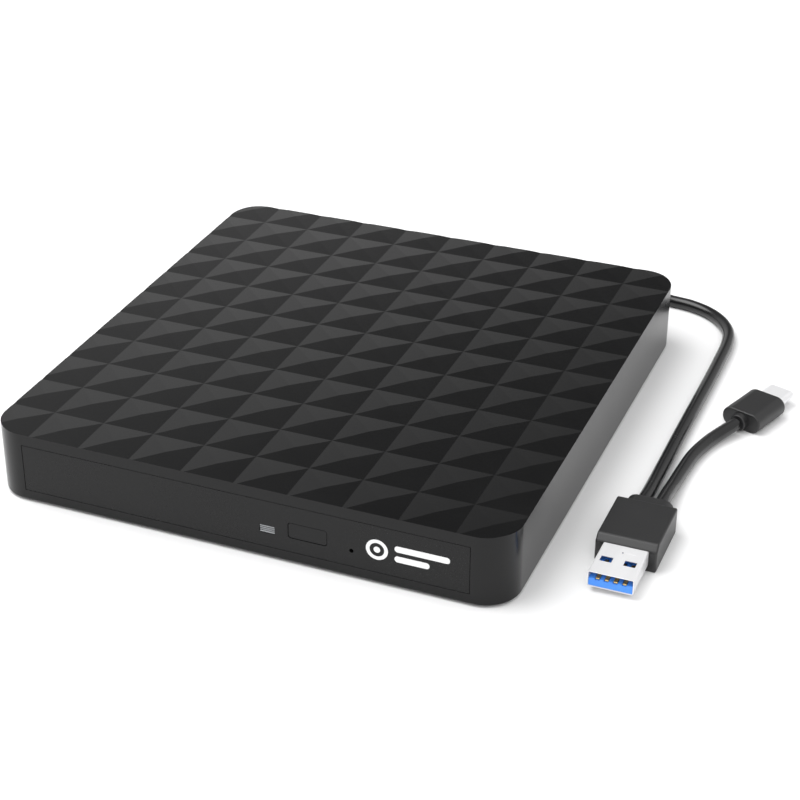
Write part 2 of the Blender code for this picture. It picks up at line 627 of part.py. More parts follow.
def make_tray():
    """Moulded disc tray with shelves over the rails and a keel below, and its under plate."""
    tray = block("disc_tray", (-TRAY_HALF_WIDTH, UNIT_FRONT, TRAY_SHELF),
                 (TRAY_HALF_WIDTH, TRAY_BACK, TRAY_TOP), "tray_plastic", corner=1.0, steps=2)
    keel = block("tray_keel", (-TRAY_KEEL_HALF_WIDTH, UNIT_FRONT, TRAY_BOTTOM),
                 (TRAY_KEEL_HALF_WIDTH, TRAY_BACK, TRAY_SHELF + PAST))
    combine(tray, [keel], "UNION")
    combine(tray, tray_cutters())
    pivot = rod("latch_pivot", (*LATCH_PIVOT, TRAY_FLOOR_UNDERSIDE - 1.8), LATCH_PIVOT_RADIUS,
                LATCH_PIVOT_LENGTH, sides=12)
    combine(tray, [pivot], "UNION")
    slack = 0.4
    plate = block("tray_under_plate",
                  (slack - KEEL_CAVITY_HALF_WIDTH, KEEL_CAVITY_FRONT + slack, TRAY_BOTTOM),
                  (KEEL_CAVITY_HALF_WIDTH - slack, UNDER_PLATE_BACK, UNDER_PLATE_TOP), "sheet_steel",
                  corner=1.6, steps=2)
    relief = rod("motor_relief", (*SPINDLE, TRAY_BOTTOM), MOTOR_RELIEF_RADIUS, THROUGH, sides=32)
    combine(plate, [relief])


def make_bezel():
    """Tray bezel with its holes for the button, the lamp and the release pin."""
    half = BEZEL_WIDTH / 2
    back = FRONT_Y + BEZEL_THICKNESS
    bezel = block("tray_bezel", (-half, FRONT_Y, BEZEL_BOTTOM), (half, back, BEZEL_TOP), "panel_plastic")
    bevel(bezel, 0.35, 2)
    low, high, slack = BUTTON_LOW, BUTTON_HIGH, BUTTON_SLACK
    button_hole = block("button_hole", (low[0] - slack, FRONT_Y - PAST, low[1] - slack),
                        (high[0] + slack, back + PAST, high[1] + slack), corner=0.9, along="Y", steps=3)
    low, high, slack = LAMP_LOW, LAMP_HIGH, LAMP_SLACK
    lamp_hole = block("lamp_hole", (low[0] - slack, FRONT_Y - PAST, low[1] - slack),
                      (high[0] + slack, back + PAST, high[1] + slack))
    pin_hole = rod("release_hole", (PINHOLE[0], FRONT_Y + BEZEL_THICKNESS / 2, PINHOLE[1]),
                   PINHOLE_RADIUS, BEZEL_THICKNESS + 2 * PAST, along="Y", sides=16)
    combine(bezel, [button_hole, lamp_hole, pin_hole])


def make_button_and_lamp():
    """Eject button with its stem, ribbed lamp lens, and the board and switch behind them."""
    board_y = UNIT_FRONT + SWITCH_ROOM_DEPTH - GAP - BOARD
    switch_y = board_y - GAP - 1.0
    face, skin = 0.05, 1.65                     # how far the button is sunk, and its depth
    button = block("eject_button", (BUTTON_LOW[0], FRONT_Y + face, BUTTON_LOW[1]),
                   (BUTTON_HIGH[0], FRONT_Y + face + skin, BUTTON_HIGH[1]), "panel_plastic", corner=0.7,
                   along="Y", steps=3)
    bevel(button, 0.2, 2)
    x, z = middle(BUTTON_LOW, BUTTON_HIGH)
    stem_back = switch_y - BUTTON_TRAVEL - 0.1
    stem_front = FRONT_Y + skin / 2
    stem = rod("button_stem", (x, (stem_front + stem_back) / 2, z), 1.0, stem_back - stem_front,
               along="Y", sides=16)
    combine(button, [stem], "UNION")

    lens = block("lamp_lens", (LAMP_LOW[0], FRONT_Y + LAMP_SLACK, LAMP_LOW[1]),
                 (LAMP_HIGH[0], FRONT_Y + BEZEL_THICKNESS + FIT, LAMP_HIGH[1]), "lamp_plastic")
    pitch = (LAMP_HIGH[1] - LAMP_LOW[1]) / LAMP_RIBS
    for number in range(1, LAMP_RIBS):
        groove_z = LAMP_LOW[1] + number * pitch
        groove = block(f"lamp_groove_{number}", (LAMP_LOW[0] - PAST, FRONT_Y - PAST, groove_z - pitch / 6),
                       (LAMP_HIGH[0] + PAST, FRONT_Y + 0.4, groove_z + pitch / 6))
        combine(lens, [groove])

    (left, low), (right, high) = SWITCH_ROOM
    edge = 0.5                                  # room left round the switch board
    board = block("switch_board", (left + edge, board_y, low + edge),
                  (right - edge, board_y + BOARD, high - edge), "board_green")
    switch = block("eject_switch", (x - 1.9, switch_y, z - 1.6), (x + 1.9, board_y - GAP, z + 1.6),
                   "chip_black")
    bevel(switch, 0.15, 1)
    x, z = middle(LAMP_LOW, LAMP_HIGH)
    lamp = block("status_lamp", (x - 0.8, board_y - 0.9, z - 0.5), (x + 0.8, board_y + BOARD / 2, z + 0.5))
    combine(board, [lamp], "UNION")


def make_spindle():
    """Spindle motor, its turntable rotor, the grip ring and the disc claws."""
    bottom = FRAME_TOP + GAP
    stator = [(0.0, MOTOR_TOP), (MOTOR_RADIUS - 1.5, MOTOR_TOP), (MOTOR_RADIUS, MOTOR_TOP - 0.6),
              (MOTOR_RADIUS, bottom), (0.0, bottom)]
    turned("spindle_motor", stator, SPINDLE, "motor_steel")
    groove_out, groove_in = RING_OUTER + GAP, RING_INNER - GAP
    table, floor, underside = RING_LOW + 0.1, RING_LOW - GAP, RING_LOW - 1.0
    rotor = [(0.0, HUB_TOP), (HUB_RADIUS - 2.1, HUB_TOP), (HUB_RADIUS - 0.7, HUB_TOP - 0.4),
             (HUB_RADIUS, HUB_TOP - 1.4), (HUB_RADIUS, table), (groove_in, table), (groove_in, floor),
             (groove_out, floor), (groove_out, table), (ROTOR_RADIUS, table), (ROTOR_RADIUS, underside),
             (ROTOR_RADIUS - 3.0, underside - 0.2), (ROTOR_RADIUS - 3.0, MOTOR_TOP + GAP),
             (0.0, MOTOR_TOP + GAP)]
    made = turned("spindle_rotor", rotor, SPINDLE, "hub_plastic", steps=36)
    ring = [(RING_INNER, RING_TOP), (RING_OUTER, RING_TOP), (RING_OUTER, RING_LOW), (RING_INNER, RING_LOW)]
    turned("turntable_ring", ring + ring[:1], SPINDLE, "foot_rubber", steps=36)
    room = Vector((0.7, 0.3, 0.2))              # room round a claw, inwards, sideways and upwards
    for number in range(CLAW_COUNT):
        frame = empty(f"claw_axis_{number + 1}", (*SPINDLE, 0.0), 90.0 + 360.0 / CLAW_COUNT * number)
        pocket_high = (HUB_RADIUS + 1.7, CLAW_HIGH[1] + room.y, CLAW_HIGH[2] + room.z)
        pocket = block(f"claw_pocket_{number + 1}", Vector(CLAW_LOW) - room, pocket_high, parent=frame)
        combine(made, [pocket])
        claw = block(f"disc_claw_{number + 1}", CLAW_LOW, CLAW_HIGH, "slide_plastic", parent=frame)
        bevel(claw, 0.2, 2)


def make_traverse_frame():
    """Cast frame with a window for the sled, and the holders of the guide rods and lead screw."""
    frame = block("traverse_frame", (-14.0, -14.5, FRAME_BOTTOM), (20.0, FRAME_OUTER, FRAME_TOP),
                  "zinc_casting", corner=3.0, steps=3, parent=TRAVERSE)
    low, high = FRAME_BOTTOM - PAST, FRAME_TOP + PAST
    window = traverse_block("frame_window", (-8.5, 14.0, low), (8.5, 60.0, high))
    side_cut = traverse_block("frame_side", (18.0, 40.0, low), (24.0, 70.0, high))
    corner_cut = traverse_block("frame_corner", (13.0, 64.0, low), (24.0, 70.0, high))
    combine(frame, [window, side_cut, corner_cut])
    places = [(x, y) for x in (-ROD_X, ROD_X) for y in HOLDER_Y] + [(LEAD_X, HOLDER_Y[1])]
    for number, (x, y) in enumerate(places):
        holder = traverse_block(f"rod_holder_{number}", (x - HOLDER_HALF_WIDTH, y, FRAME_TOP - GAP),
                                (x + HOLDER_HALF_WIDTH, y + HOLDER_LENGTH, HOLDER_TOP))
        combine(frame, [holder], "UNION")
    rod_middle = (HOLDER_Y[0] + HOLDER_Y[1] + HOLDER_LENGTH) / 2
    rod_length = HOLDER_Y[1] - HOLDER_Y[0] + HOLDER_LENGTH + 2 * FIT
    for name, x in (("main_guide_rod", -ROD_X), ("side_guide_rod", ROD_X)):
        bore = rod(f"{name}_bore", (x, rod_middle, ROD_Z), ROD_RADIUS + FIT, ALONG_ROD, along="Y", sides=16,
                   parent=TRAVERSE)
        combine(frame, [bore])
        rod(name, (x, rod_middle, ROD_Z), ROD_RADIUS, rod_length, "bright_steel", along="Y", sides=16,
            parent=TRAVERSE)
    screw_ends = (SLED_MOTOR_Y[1] + GAP, HOLDER_Y[1] + HOLDER_LENGTH)
    lead_bore = rod("lead_screw_bore", (LEAD_X, screw_ends[1], LEAD_Z), LEAD_RADIUS + FIT, THROUGH, along="Y",
                    sides=16, parent=TRAVERSE)
    combine(frame, [lead_bore])
    rod("lead_screw", (LEAD_X, sum(screw_ends) / 2, LEAD_Z), LEAD_RADIUS, screw_ends[1] - screw_ends[0],
        "bright_steel", along="Y", sides=16, parent=TRAVERSE)
    motor = block("sled_motor", (LEAD_X - SLED_MOTOR_HALF, SLED_MOTOR_Y[0], SLED_BOTTOM),
                  (LEAD_X + SLED_MOTOR_HALF, SLED_MOTOR_Y[1], HOLDER_TOP), "motor_steel", corner=1.1,
                  along="Y", steps=4, parent=TRAVERSE)
    bevel(motor, 0.2, 1)


def make_pickup():
    """Pickup sled with its bushes, nut and lens turret, and the lens in its holder."""
    sled = block("pickup_sled", (-SLED_HALF_WIDTH, SLED_INNER, SLED_BOTTOM),
                 (SLED_HALF_WIDTH, SLED_OUTER, SLED_TOP), "zinc_casting", corner=1.5, steps=2,
                 parent=TRAVERSE)
    turret_half, nut_half, bush_half, bush_length = 5.2, 3.0, 1.9, 6.0
    shoulder = HOLDER_Y[1] - GAP - SLED_TRAVEL  # the sled is narrow beyond this, to clear the holders
    added = [traverse_block("lens_turret", (-turret_half, LENS_AT_REST - turret_half, SLED_TOP - GAP),
                            (turret_half, LENS_AT_REST + turret_half, SLED_TOP + PAST), corner=1.0),
             traverse_block("lead_nut", (SLED_HALF_WIDTH - PAST, LENS_AT_REST - nut_half, SLED_BOTTOM),
                            (LEAD_X + 2.6, LENS_AT_REST + nut_half, SLED_TOP + 0.1))]
    for x in (-ROD_X, ROD_X):
        added.append(traverse_block(f"sled_bush_{x:.0f}", (x - bush_half, SLED_INNER, SLED_BOTTOM),
                                    (x + bush_half, SLED_INNER + bush_length, ROD_Z + 1.8)))
    combine(sled, added, "UNION")
    for sign in (-1, 1):
        near, far = sorted((sign * NOSE_HALF_WIDTH, sign * (LEAD_X + 2 * PAST)))
        notch = traverse_block(f"nose_notch_{sign}", (near, shoulder, SLED_BOTTOM - PAST),
                               (far, SLED_OUTER + PAST, SLED_TOP + PAST))
        combine(sled, [notch])
    for number, (x, z, radius) in enumerate(((-ROD_X, ROD_Z, ROD_RADIUS), (ROD_X, ROD_Z, ROD_RADIUS),
                                             (LEAD_X, LEAD_Z, LEAD_RADIUS))):
        bore = rod(f"sled_bore_{number}", (x, LENS_AT_REST, z), radius + FIT, ALONG_ROD, along="Y", sides=16,
                   parent=TRAVERSE)
        combine(sled, [bore])
    half = LENS_HOLDER_HALF
    room = half + 0.6
    pocket = traverse_block("lens_pocket", (-room, LENS_AT_REST - room, LENS_HOLDER_LOW - 0.5),
                            (room, LENS_AT_REST + room, LENS_HOLDER_TOP + PAST))
    combine(sled, [pocket])
    holder = block("lens_holder", (-half, LENS_AT_REST - half, LENS_HOLDER_LOW),
                   (half, LENS_AT_REST + half, LENS_HOLDER_TOP), "chip_black", corner=0.8, steps=2,
                   parent=TRAVERSE)
    hole = rod("lens_hole", (0.0, LENS_AT_REST, LENS_HOLDER_LOW), LENS_RADIUS + 0.25, THROUGH,
               parent=TRAVERSE)
    combine(holder, [hole])
    rim_low, rim_high = LENS_HOLDER_LOW + 0.4, LENS_HOLDER_TOP - 0.5
    crown = LENS_HOLDER_TOP + 0.25
    lens = [(0.0, crown), (0.9, crown - 0.1), (1.6, crown - 0.35), (LENS_RADIUS, rim_high),
            (LENS_RADIUS, rim_low), (0.0, rim_low)]
    turned("objective_lens", lens, (0.0, LENS_AT_REST), "lens_glass", steps=24, parent=TRAVERSE)


def make_latch():
    """Tray latch: a pin on the pan and the hook that swings in behind it."""
    pin_low = UNIT_BOTTOM + SHEET + GAP
    pin_length = 3.4
    rod("latch_pin", (*LATCH_PIN, pin_low + pin_length / 2), 1.0, pin_length, "bright_steel", sides=16)
    x, y = LATCH_PIVOT
    tooth_front, tip = LATCH_PIN[1] + 1.6, LATCH_PIN[1] + 3.2
    hook = block("latch_hook", (x - 1.6, y - 2.0, LATCH_LOW), (x + 1.4, tip, LATCH_HIGH), "slide_plastic",
                 corner=0.8, steps=3, origin=(x, y, LATCH_LOW))
    tooth = block("latch_tooth", (x - 1.0, tooth_front, LATCH_LOW), (LATCH_PIN[0] - 1.9, tip, LATCH_HIGH))
    combine(hook, [tooth], "UNION")
    bore = rod("latch_bore", (x, y, LATCH_LOW), LATCH_PIVOT_RADIUS + FIT, THROUGH, sides=12)
    combine(hook, [bore])


def make_tray_board():
    """Control board on the tray's under plate, and the ribbon's run along the pan floor."""
    low = UNDER_PLATE_TOP + GAP
    (left, front), (right, back) = CONTROL_BOARD
    board = block("control_board", (left, front, low), (right, back, low + BOARD), "board_green")
    (left, front), (right, back) = CONTROL_CHIP
    chip = block("control_chip", (left, front, low + BOARD / 2), (right, back, low + 2.4))
    combine(board, [chip], "UNION")
    film_low, film_high = UNIT_BOTTOM + SHEET + 0.15, UNIT_BOTTOM + SHEET + 0.3
    block("ribbon_cable", (RIBBON[0], CONTROL_BOARD[0][1], film_low), (RIBBON[1], TRAY_BACK - 1.0, film_high),
          "flex_brown")


def make_bridge_board():
    """Bridge board behind the drive unit, with its socket, chip and two screws."""
    (left, front), (right, back) = BRIDGE_BOARD
    board = block("bridge_board", (left, front, BRIDGE_BOTTOM), (right, back, BRIDGE_TOP), "board_green")
    bevel(board, 0.1, 1)
    head_low, head_high = BRIDGE_TOP + GAP, BRIDGE_TOP + 1.3
    screw_tip = BASE_TOP + GAP + 0.5
    for number, x in enumerate(BOARD_SUPPORT_X):
        hole = rod(f"bridge_hole_{number}", (x, BOARD_SUPPORT_Y, BRIDGE_BOTTOM), SCREW_RADIUS + FIT, 4.0,
                   sides=12)
        combine(board, [hole])
        screw = [(0.0, head_high), (1.4, head_high), (1.9, head_high - 0.4), (1.9, head_low),
                 (SCREW_RADIUS, head_low), (SCREW_RADIUS, screw_tip), (0.0, screw_tip - FIT)]
        turned(f"board_screw_{number + 1}", screw, (x, BOARD_SUPPORT_Y), "screw_steel", steps=16)
    half = CONNECTOR_HALF_WIDTH - 2.0
    socket_front = UNIT_BACK + 4.5
    socket = block("bridge_socket", (-half, socket_front, BRIDGE_TOP + GAP),
                   (half, socket_front + 5.0, CONNECTOR_HIGH - FIT), "chip_black")
    tongue = block("socket_tongue", (0.4 - half, UNIT_BACK + 0.9, CONNECTOR_LOW + 1.9),
                   (half - 0.4, socket_front + 0.5, CONNECTOR_HIGH - 1.9))
    combine(socket, [tongue], "UNION")
    (left, front), (right, back) = BRIDGE_CHIP
    chip = block("bridge_chip", (left, front, head_low), (right, back, head_high), "chip_black")
    bevel(chip, 0.2, 1)


def make_strain_relief():
    """Tapered sleeve where the cord leaves the back wall, with a collar inside the wall."""
    inside = HALF_DEPTH - WALL
    root_y = inside - 3.2
    sleeve = rod("cord_strain_relief", (EXIT_X, (root_y + RELIEF_TIP_Y) / 2, EXIT_Z), RELIEF_ROOT_RADIUS,
                 RELIEF_TIP_Y - root_y, "cord_black", along="Y", sides=24, tip_radius=RELIEF_TIP_RADIUS)
    half_w, half_h = RELIEF_COLLAR_HALF
    collar = block("relief_collar", (EXIT_X - half_w, inside - 2.4, EXIT_Z - half_h),
                   (EXIT_X + half_w, inside - GAP, EXIT_Z + half_h), corner=1.0, along="Y", steps=3)
    combine(sleeve, [collar], "UNION")


def make_usb_a_body():
    """Type A overmould with the collar that both cords go into, and its hollow shell."""
    x, half, z = USB_A_X, USB_A_WIDTH / 2, USB_A_HEIGHT / 2
    body = block("usb_a_overmould", (x - half, USB_A_FRONT, 0.0), (x + half, USB_A_BACK, USB_A_HEIGHT),
                 "plug_black", corner=1.0, along="Y", steps=3)
    collar_w, collar_h = USB_A_COLLAR_HALF
    collar = block("usb_a_collar", (x - collar_w, USB_A_BACK - PAST, z - collar_h),
                   (x + collar_w, USB_A_COLLAR_BACK, z + collar_h), corner=2.7, along="Y", steps=5)
    combine(body, [collar], "UNION")
    half_w, half_h = SHELL_A[0] / 2, SHELL_A[1] / 2
    slot_back = USB_A_FRONT + SHELL_A_HELD
    slack = SHELL_SLACK
    slot = block("usb_a_slot", (x - half_w - slack, USB_A_FRONT - PAST, z - half_h - slack),
                 (x + half_w + slack, slot_back, z + half_h + slack))
    combine(body, [slot])
    front, back = USB_A_FRONT - SHELL_A_LENGTH, slot_back - slack
    shell = block("usb_a_shell", (x - half_w, front, z - half_h), (x + half_w, back, z + half_h),
                  "plug_nickel", corner=0.4, along="Y", steps=2)
    inner_w, inner_h = half_w - SHELL_WALL, half_h - SHELL_WALL
    bore = block("usb_a_bore", (x - inner_w, front - PAST, z - inner_h),
                 (x + inner_w, back + PAST, z + inner_h))
    combine(shell, [bore])
    for number, offset in enumerate(WINDOW_A_X):
        window = block(f"usb_a_window_{number}", (x + offset - WINDOW_A[0] / 2, front + WINDOW_A_Y, 0.0),
                       (x + offset + WINDOW_A[0] / 2, front + WINDOW_A_Y + WINDOW_A[1], USB_A_HEIGHT))
        combine(shell, [window])


def make_usb_a_tongue():
    """Type A tongue inside the shell, with four contacts in their grooves."""
    front = USB_A_FRONT - SHELL_A_LENGTH
    back = USB_A_FRONT + SHELL_A_HELD - SHELL_SLACK
    floor = USB_A_HEIGHT / 2 - SHELL_A[1] / 2 + SHELL_WALL + 0.08
    half = SHELL_A[0] / 2 - SHELL_WALL - 0.1
    top = floor + TONGUE_A_THICKNESS
    tongue = block("usb_a_tongue", (USB_A_X - half, front + GAP, floor), (USB_A_X + half, back - FIT, top),
                   "tongue_blue")
    bevel(tongue, 0.15, 1)
    for number, offset in enumerate(CONTACT_A_X):
        x = USB_A_X + offset
        wide = CONTACT_A_HALF + FIT
        groove = block(f"contact_groove_{number}", (x - wide, front - PAST, top - 0.5),
                       (x + wide, front + CONTACT_A_Y[1] + 0.4, top + PAST))
        combine(tongue, [groove])
        near, far = front + CONTACT_A_Y[0], front + CONTACT_A_Y[1]
        contact = block(f"usb_a_contact_{number + 1}", (x - CONTACT_A_HALF, near, top - 0.4),
                        (x + CONTACT_A_HALF, far, top - 0.1), "contact_gold")
        bevel(contact, 0.08, 1)


def make_usb_c_plug():
    """Small type C plug at the end of the pigtail, turned on the floor plan."""
    frame = empty("usb_c_axis", (*USB_C_BACK, 0.0), USB_C_ANGLE)
    half_w, high = USB_C_SIZE[0] / 2, USB_C_SIZE[1]
    z = high / 2
    body = block("usb_c_overmould", (-half_w, 0.0, 0.0), (half_w, USB_C_LENGTH, high), "plug_black",
                 corner=USB_C_CORNER, along="Y", steps=6, parent=frame)
    bevel(body, 0.35, 2)
    neck = rod("usb_c_neck", (0.0, 0.5 - USB_C_NECK / 2, z), USB_C_NECK_RADIUS, USB_C_NECK, along="Y",
               parent=frame)
    combine(body, [neck], "UNION")
    shell_w, shell_h = SHELL_C[0] / 2, SHELL_C[1] / 2
    slack = SHELL_SLACK
    slot = block("usb_c_slot", (-shell_w - slack, USB_C_LENGTH - SHELL_C_HELD, z - shell_h - slack),
                 (shell_w + slack, USB_C_LENGTH + PAST, z + shell_h + slack), corner=1.4, along="Y",
                 steps=4, parent=frame)
    combine(body, [slot])
    back, front = USB_C_LENGTH - SHELL_C_HELD + FIT, USB_C_LENGTH + SHELL_C_LENGTH
    shell = block("usb_c_shell", (-shell_w, back, z - shell_h), (shell_w, front, z + shell_h),
                  "plug_nickel", corner=SHELL_C_CORNER, along="Y", steps=5, parent=frame)
    inner_w, inner_h = shell_w - SHELL_WALL, shell_h - SHELL_WALL
    bore = block("usb_c_bore", (-inner_w, back - PAST, z - inner_h), (inner_w, front + PAST, z + inner_h),
                 corner=SHELL_C_CORNER - SHELL_WALL, along="Y", steps=4, parent=frame)
    combine(shell, [bore])
    snug = 0.1
    lining = block("usb_c_insert", (snug - inner_w, back + FIT, z - inner_h + snug),
                   (inner_w - snug, front - 0.5, z + inner_h - snug), "chip_black", corner=0.8, along="Y",
                   steps=3, parent=frame)
    mouth = block("usb_c_mouth", (0.5 - inner_w, back + 3.0, z - MOUTH_C_HALF),
                  (inner_w - 0.5, front + PAST, z + MOUTH_C_HALF), parent=frame)
    combine(lining, [mouth])


TRAVERSE = empty("traverse_axis", (*SPINDLE, 0.0), TRAVERSE_ANGLE)
make_top_cover()
make_bottom_cover()
make_feet_and_screws()
make_unit_housing()
make_slides()
make_tray()
make_bezel()
make_button_and_lamp()
make_spindle()
make_traverse_frame()
make_pickup()
make_latch()
make_tray_board()
make_bridge_board()
make_strain_relief()
cord("main_cord", MAIN_ROUTE)
cord("pigtail_cord", PIGTAIL_ROUTE)
make_usb_a_body()
make_usb_a_tongue()
make_usb_c_plug()
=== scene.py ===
"""Looks of the external slim optical drive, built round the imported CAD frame.

Lengths here are in millimetres, and MM turns them into metres. Every mesh is drawn where it
lies, so each object's origin is the frame's own. +X is to the right of the front panel, +Y
runs back into the case and +Z is up.
"""
import json
import math

import bmesh
import bpy
from mathutils import Matrix, Vector


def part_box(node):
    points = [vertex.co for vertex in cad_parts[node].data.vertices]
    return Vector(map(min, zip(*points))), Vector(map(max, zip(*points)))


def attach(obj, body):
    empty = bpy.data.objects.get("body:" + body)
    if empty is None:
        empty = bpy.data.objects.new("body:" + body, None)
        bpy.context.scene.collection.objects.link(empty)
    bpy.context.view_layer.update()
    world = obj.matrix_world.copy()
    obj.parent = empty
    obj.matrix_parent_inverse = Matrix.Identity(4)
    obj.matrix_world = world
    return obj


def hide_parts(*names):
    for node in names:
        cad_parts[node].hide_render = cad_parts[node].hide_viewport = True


MM = 0.001
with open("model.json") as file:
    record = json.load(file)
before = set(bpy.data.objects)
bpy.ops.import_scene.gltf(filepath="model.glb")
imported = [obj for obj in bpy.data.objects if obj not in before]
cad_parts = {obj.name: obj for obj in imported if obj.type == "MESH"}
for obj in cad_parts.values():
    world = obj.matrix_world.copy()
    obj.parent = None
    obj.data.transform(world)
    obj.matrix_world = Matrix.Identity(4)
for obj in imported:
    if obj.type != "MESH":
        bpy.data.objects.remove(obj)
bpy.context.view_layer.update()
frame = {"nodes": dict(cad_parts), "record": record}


def node_box(node):
    """Lowest and highest corner of a CAD node, in millimetres."""
    low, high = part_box(node)
    return low / MM, high / MM


COVER_LOW, COVER_HIGH = node_box("top_cover")
BEZEL_LOW, BEZEL_HIGH = node_box("tray_bezel")
FRONT_Y = COVER_LOW.y
SEAM = 0.10                     # width of the visible seams round the panel, button and lamp
SILL_SEAM = 0.04                # width of the seam under the panel
WALL = 2.0
CUT_MARGIN = 1.0                # how far a cutter passes the face that it opens

# Shading: steepest angle that shades smooth, and the angle from which an edge is rounded
SMOOTH_ANGLE, SMOOTH_SOFTENED, SMOOTH_TURNED = 35.0, 50.0, 32.0
EDGE_ANGLE, EDGE_ANGLE_ROUND, EDGE_ANGLE_CAD = 30.0, 50.0, 40.0
FLAT_FACE_WEIGHT = 100          # flat faces rule the normals beside a rounded edge
WELD_DISTANCE = 0.001

# Lid: a field of low pyramids, fixed by one crossing of its valleys
CELL_WIDTH, CELL_DEPTH, CELL_RISE = 15.2, 14.94, 0.4
PATTERN_X, PATTERN_Y = -61.46, 68.36
CELLS_BEFORE, CELLS_ACROSS, CELLS_ALONG = 2, 13, 14
LID_TOP = COVER_HIGH.z - CELL_RISE
LID_UNDERSIDE = 18.6
CASE_CORNER, CASE_CORNER_STEPS, HOLLOW_CORNER_STEPS = 9.8, 24, 16
RIM_ROUNDING, RIM_STEPS = 0.45, 4
OUTLET_RADIUS = 3.6             # opening for the cord in the back wall
LEVEL_NORMAL = 0.9              # faces of the lid that point up more than this stay flat

# Front panel
PANEL_DEPTH, PANEL_EDGE = 2.0, 0.18
BUTTON_HOLE_CORNER, LAMP_HOLE_CORNER = 0.8, 0.2
PIN_HOLE_X, PIN_HOLE_Z = 32.2, 8.5
PIN_HOLE_RADIUS, PIN_HOLE_LENGTH = 0.6, 8.0
BUTTON_DEPTH, BUTTON_CORNER, BUTTON_EDGE = 1.65, 0.75, 0.16
STEM_START, STEM_RADIUS = 0.8, 1.0
LAMP_RIBS, LAMP_GROOVE_HALF, LAMP_GROOVE_DEPTH, LAMP_EDGE = 4, 0.14, 0.9, 0.05

# Print on the front panel, which stands a hair proud of it
PRINT_PROUD, PRINT_SUNK = 0.03, 0.01
SIGN_X, SIGN_Z, SIGN_RADIUS, SIGN_BAND, SIGN_HUB = 39.2, 10.65, 3.0, 1.0, 0.9
BAR_LEFT, BAR_HALF, BAR_CORNER = 44.0, 0.9, 0.85
BARS = ((12.15, 58.8), (9.15, 53.4))    # height and right end of each bar

# Cords and plugs
CORD_RADIUS, CORD_STEP, CORD_ROUNDNESS = 1.9, 0.8, 6
CURVE_SAMPLES = 40
MAIN_ROUTE = [
    (46.0, 86.5, 7.2), (46.0, 90.2, 7.15), (47.4, 94.6, 6.3), (51.6, 98.4, 4.6),
    (58.6, 100.2, 2.8), (68.6, 100.0, 1.9), (75.6, 98.9, 1.9), (82.0, 96.0, 1.9),
    (87.3, 91.1, 1.9), (90.8, 84.6, 1.9), (92.1, 76.8, 1.9), (92.4, 66.0, 1.9),
    (92.5, 52.0, 1.9), (92.4, 37.0, 1.9), (92.3, 21.0, 1.9), (92.3, 5.0, 1.9),
    (92.4, -7.0, 2.2), (92.7, -15.5, 3.2), (92.8, -20.5, 3.8), (92.8, -23.9, 3.9),
]
PIGTAIL_ROUTE = [
    (97.6, -23.9, 3.9), (97.6, -20.5, 3.8), (97.5, -15.5, 3.2), (97.6, -8.5, 2.3),
    (97.9, 0.0, 1.9), (98.7, 9.0, 1.9), (100.8, 17.5, 2.0), (103.6, 23.6, 2.6),
    (105.4, 27.0, 2.95), (105.9, 28.3, 3.0),
]

# Flat plug, which points to -Y, and small plug in its own frame, where it points to +Y
FLAT_PLUG_X, FLAT_PLUG_Z = 95.2, 3.9
FLAT_BODY_FRONT, FLAT_BODY_BACK = -48.7, -28.2
FLAT_BODY_HALF, FLAT_BODY_HEIGHT, FLAT_BODY_EDGE = 8.2, 7.8, 0.55
FLAT_SLOPE_DEPTH, FLAT_SLOPE_DROP = 1.9, 1.6
COLLAR_HALF, COLLAR_BACK = (6.4, 2.95), -24.0
COLLAR_CORNER, COLLAR_EDGE = 2.85, 0.5
SOCKET_GAP = 0.04               # between a plug's shell and its overmould
FLAT_SHELL_FRONT, FLAT_SHELL_BACK = -62.4, -45.2
FLAT_SHELL_HALF, FLAT_SHELL_WALL = (6.0, 2.25), 0.22
FLAT_SHELL_CORNER, FLAT_BORE_CORNER, FLAT_SHELL_EDGE = 0.45, 0.2, 0.05
PORT_X, PORT_HALF, PORT_FLOOR, PORT_CORNER = 3.1, 1.55, 1.0, 0.15
PORT_START, PORT_END = 5.5, 7.9         # behind the shell's front, as are the next two
DIMPLE_BACK, DIMPLE_RADIUS, DIMPLE_LENGTH = 10.9, 0.26, 0.6
CREASE_START, CREASE_END = 10.85, 11.0
CREASE_LEFT, CREASE_RIGHT, CREASE_DEPTH, CREASE_OVER = 0.6, 3.4, 0.05, 0.2
TONGUE_ABOVE_FLOOR, TONGUE_TOP, TONGUE_SIDE_GAP, TONGUE_EDGE = 0.03, 0.15, 0.05, 0.08
TONGUE_START, TONGUE_ROOT = 0.12, 2.6
CONTACT_PLACES = (-3.5, -1.15, 1.15, 3.5)
SLOT_HALF, SLOT_START, SLOT_END, SLOT_DEPTH, SLOT_OVER = 0.62, 0.3, 9.8, 0.42, 0.3
CONTACT_HALF, CONTACT_START, CONTACT_END = 0.5, 0.55, 9.6
CONTACT_SUNK, CONTACT_PROUD, CONTACT_CORNER, CONTACT_EDGE = 0.38, 0.05, 0.2, 0.06
SMALL_PLUG = Matrix.Translation((106.9, 30.9, 0.0)) @ Matrix.Rotation(math.radians(-18.8), 4, "Z")
SMALL_BODY_LENGTH, SMALL_BODY_HALF, SMALL_BODY_HEIGHT = 14.4, 6.1, 6.0
SMALL_BODY_FLAT, SMALL_BODY_EDGE = 0.12, 0.4        # half the height of the flat side, and the edges
NECK_START, NECK_HALF, NECK_RADIUS, NECK_LENGTH, NECK_EDGE = 0.5, 1.3, 2.5, 2.6, 0.3
SMALL_SHELL_HALF, SMALL_SHELL_LENGTH, SMALL_SHELL_WALL = (4.17, 1.28), 8.2, 0.3
SMALL_SOCKET_DEPTH, SMALL_SHELL_ROOT = 2.4, 2.35
SMALL_SHELL_FLAT, SMALL_SHELL_EDGE = 0.02, 0.18

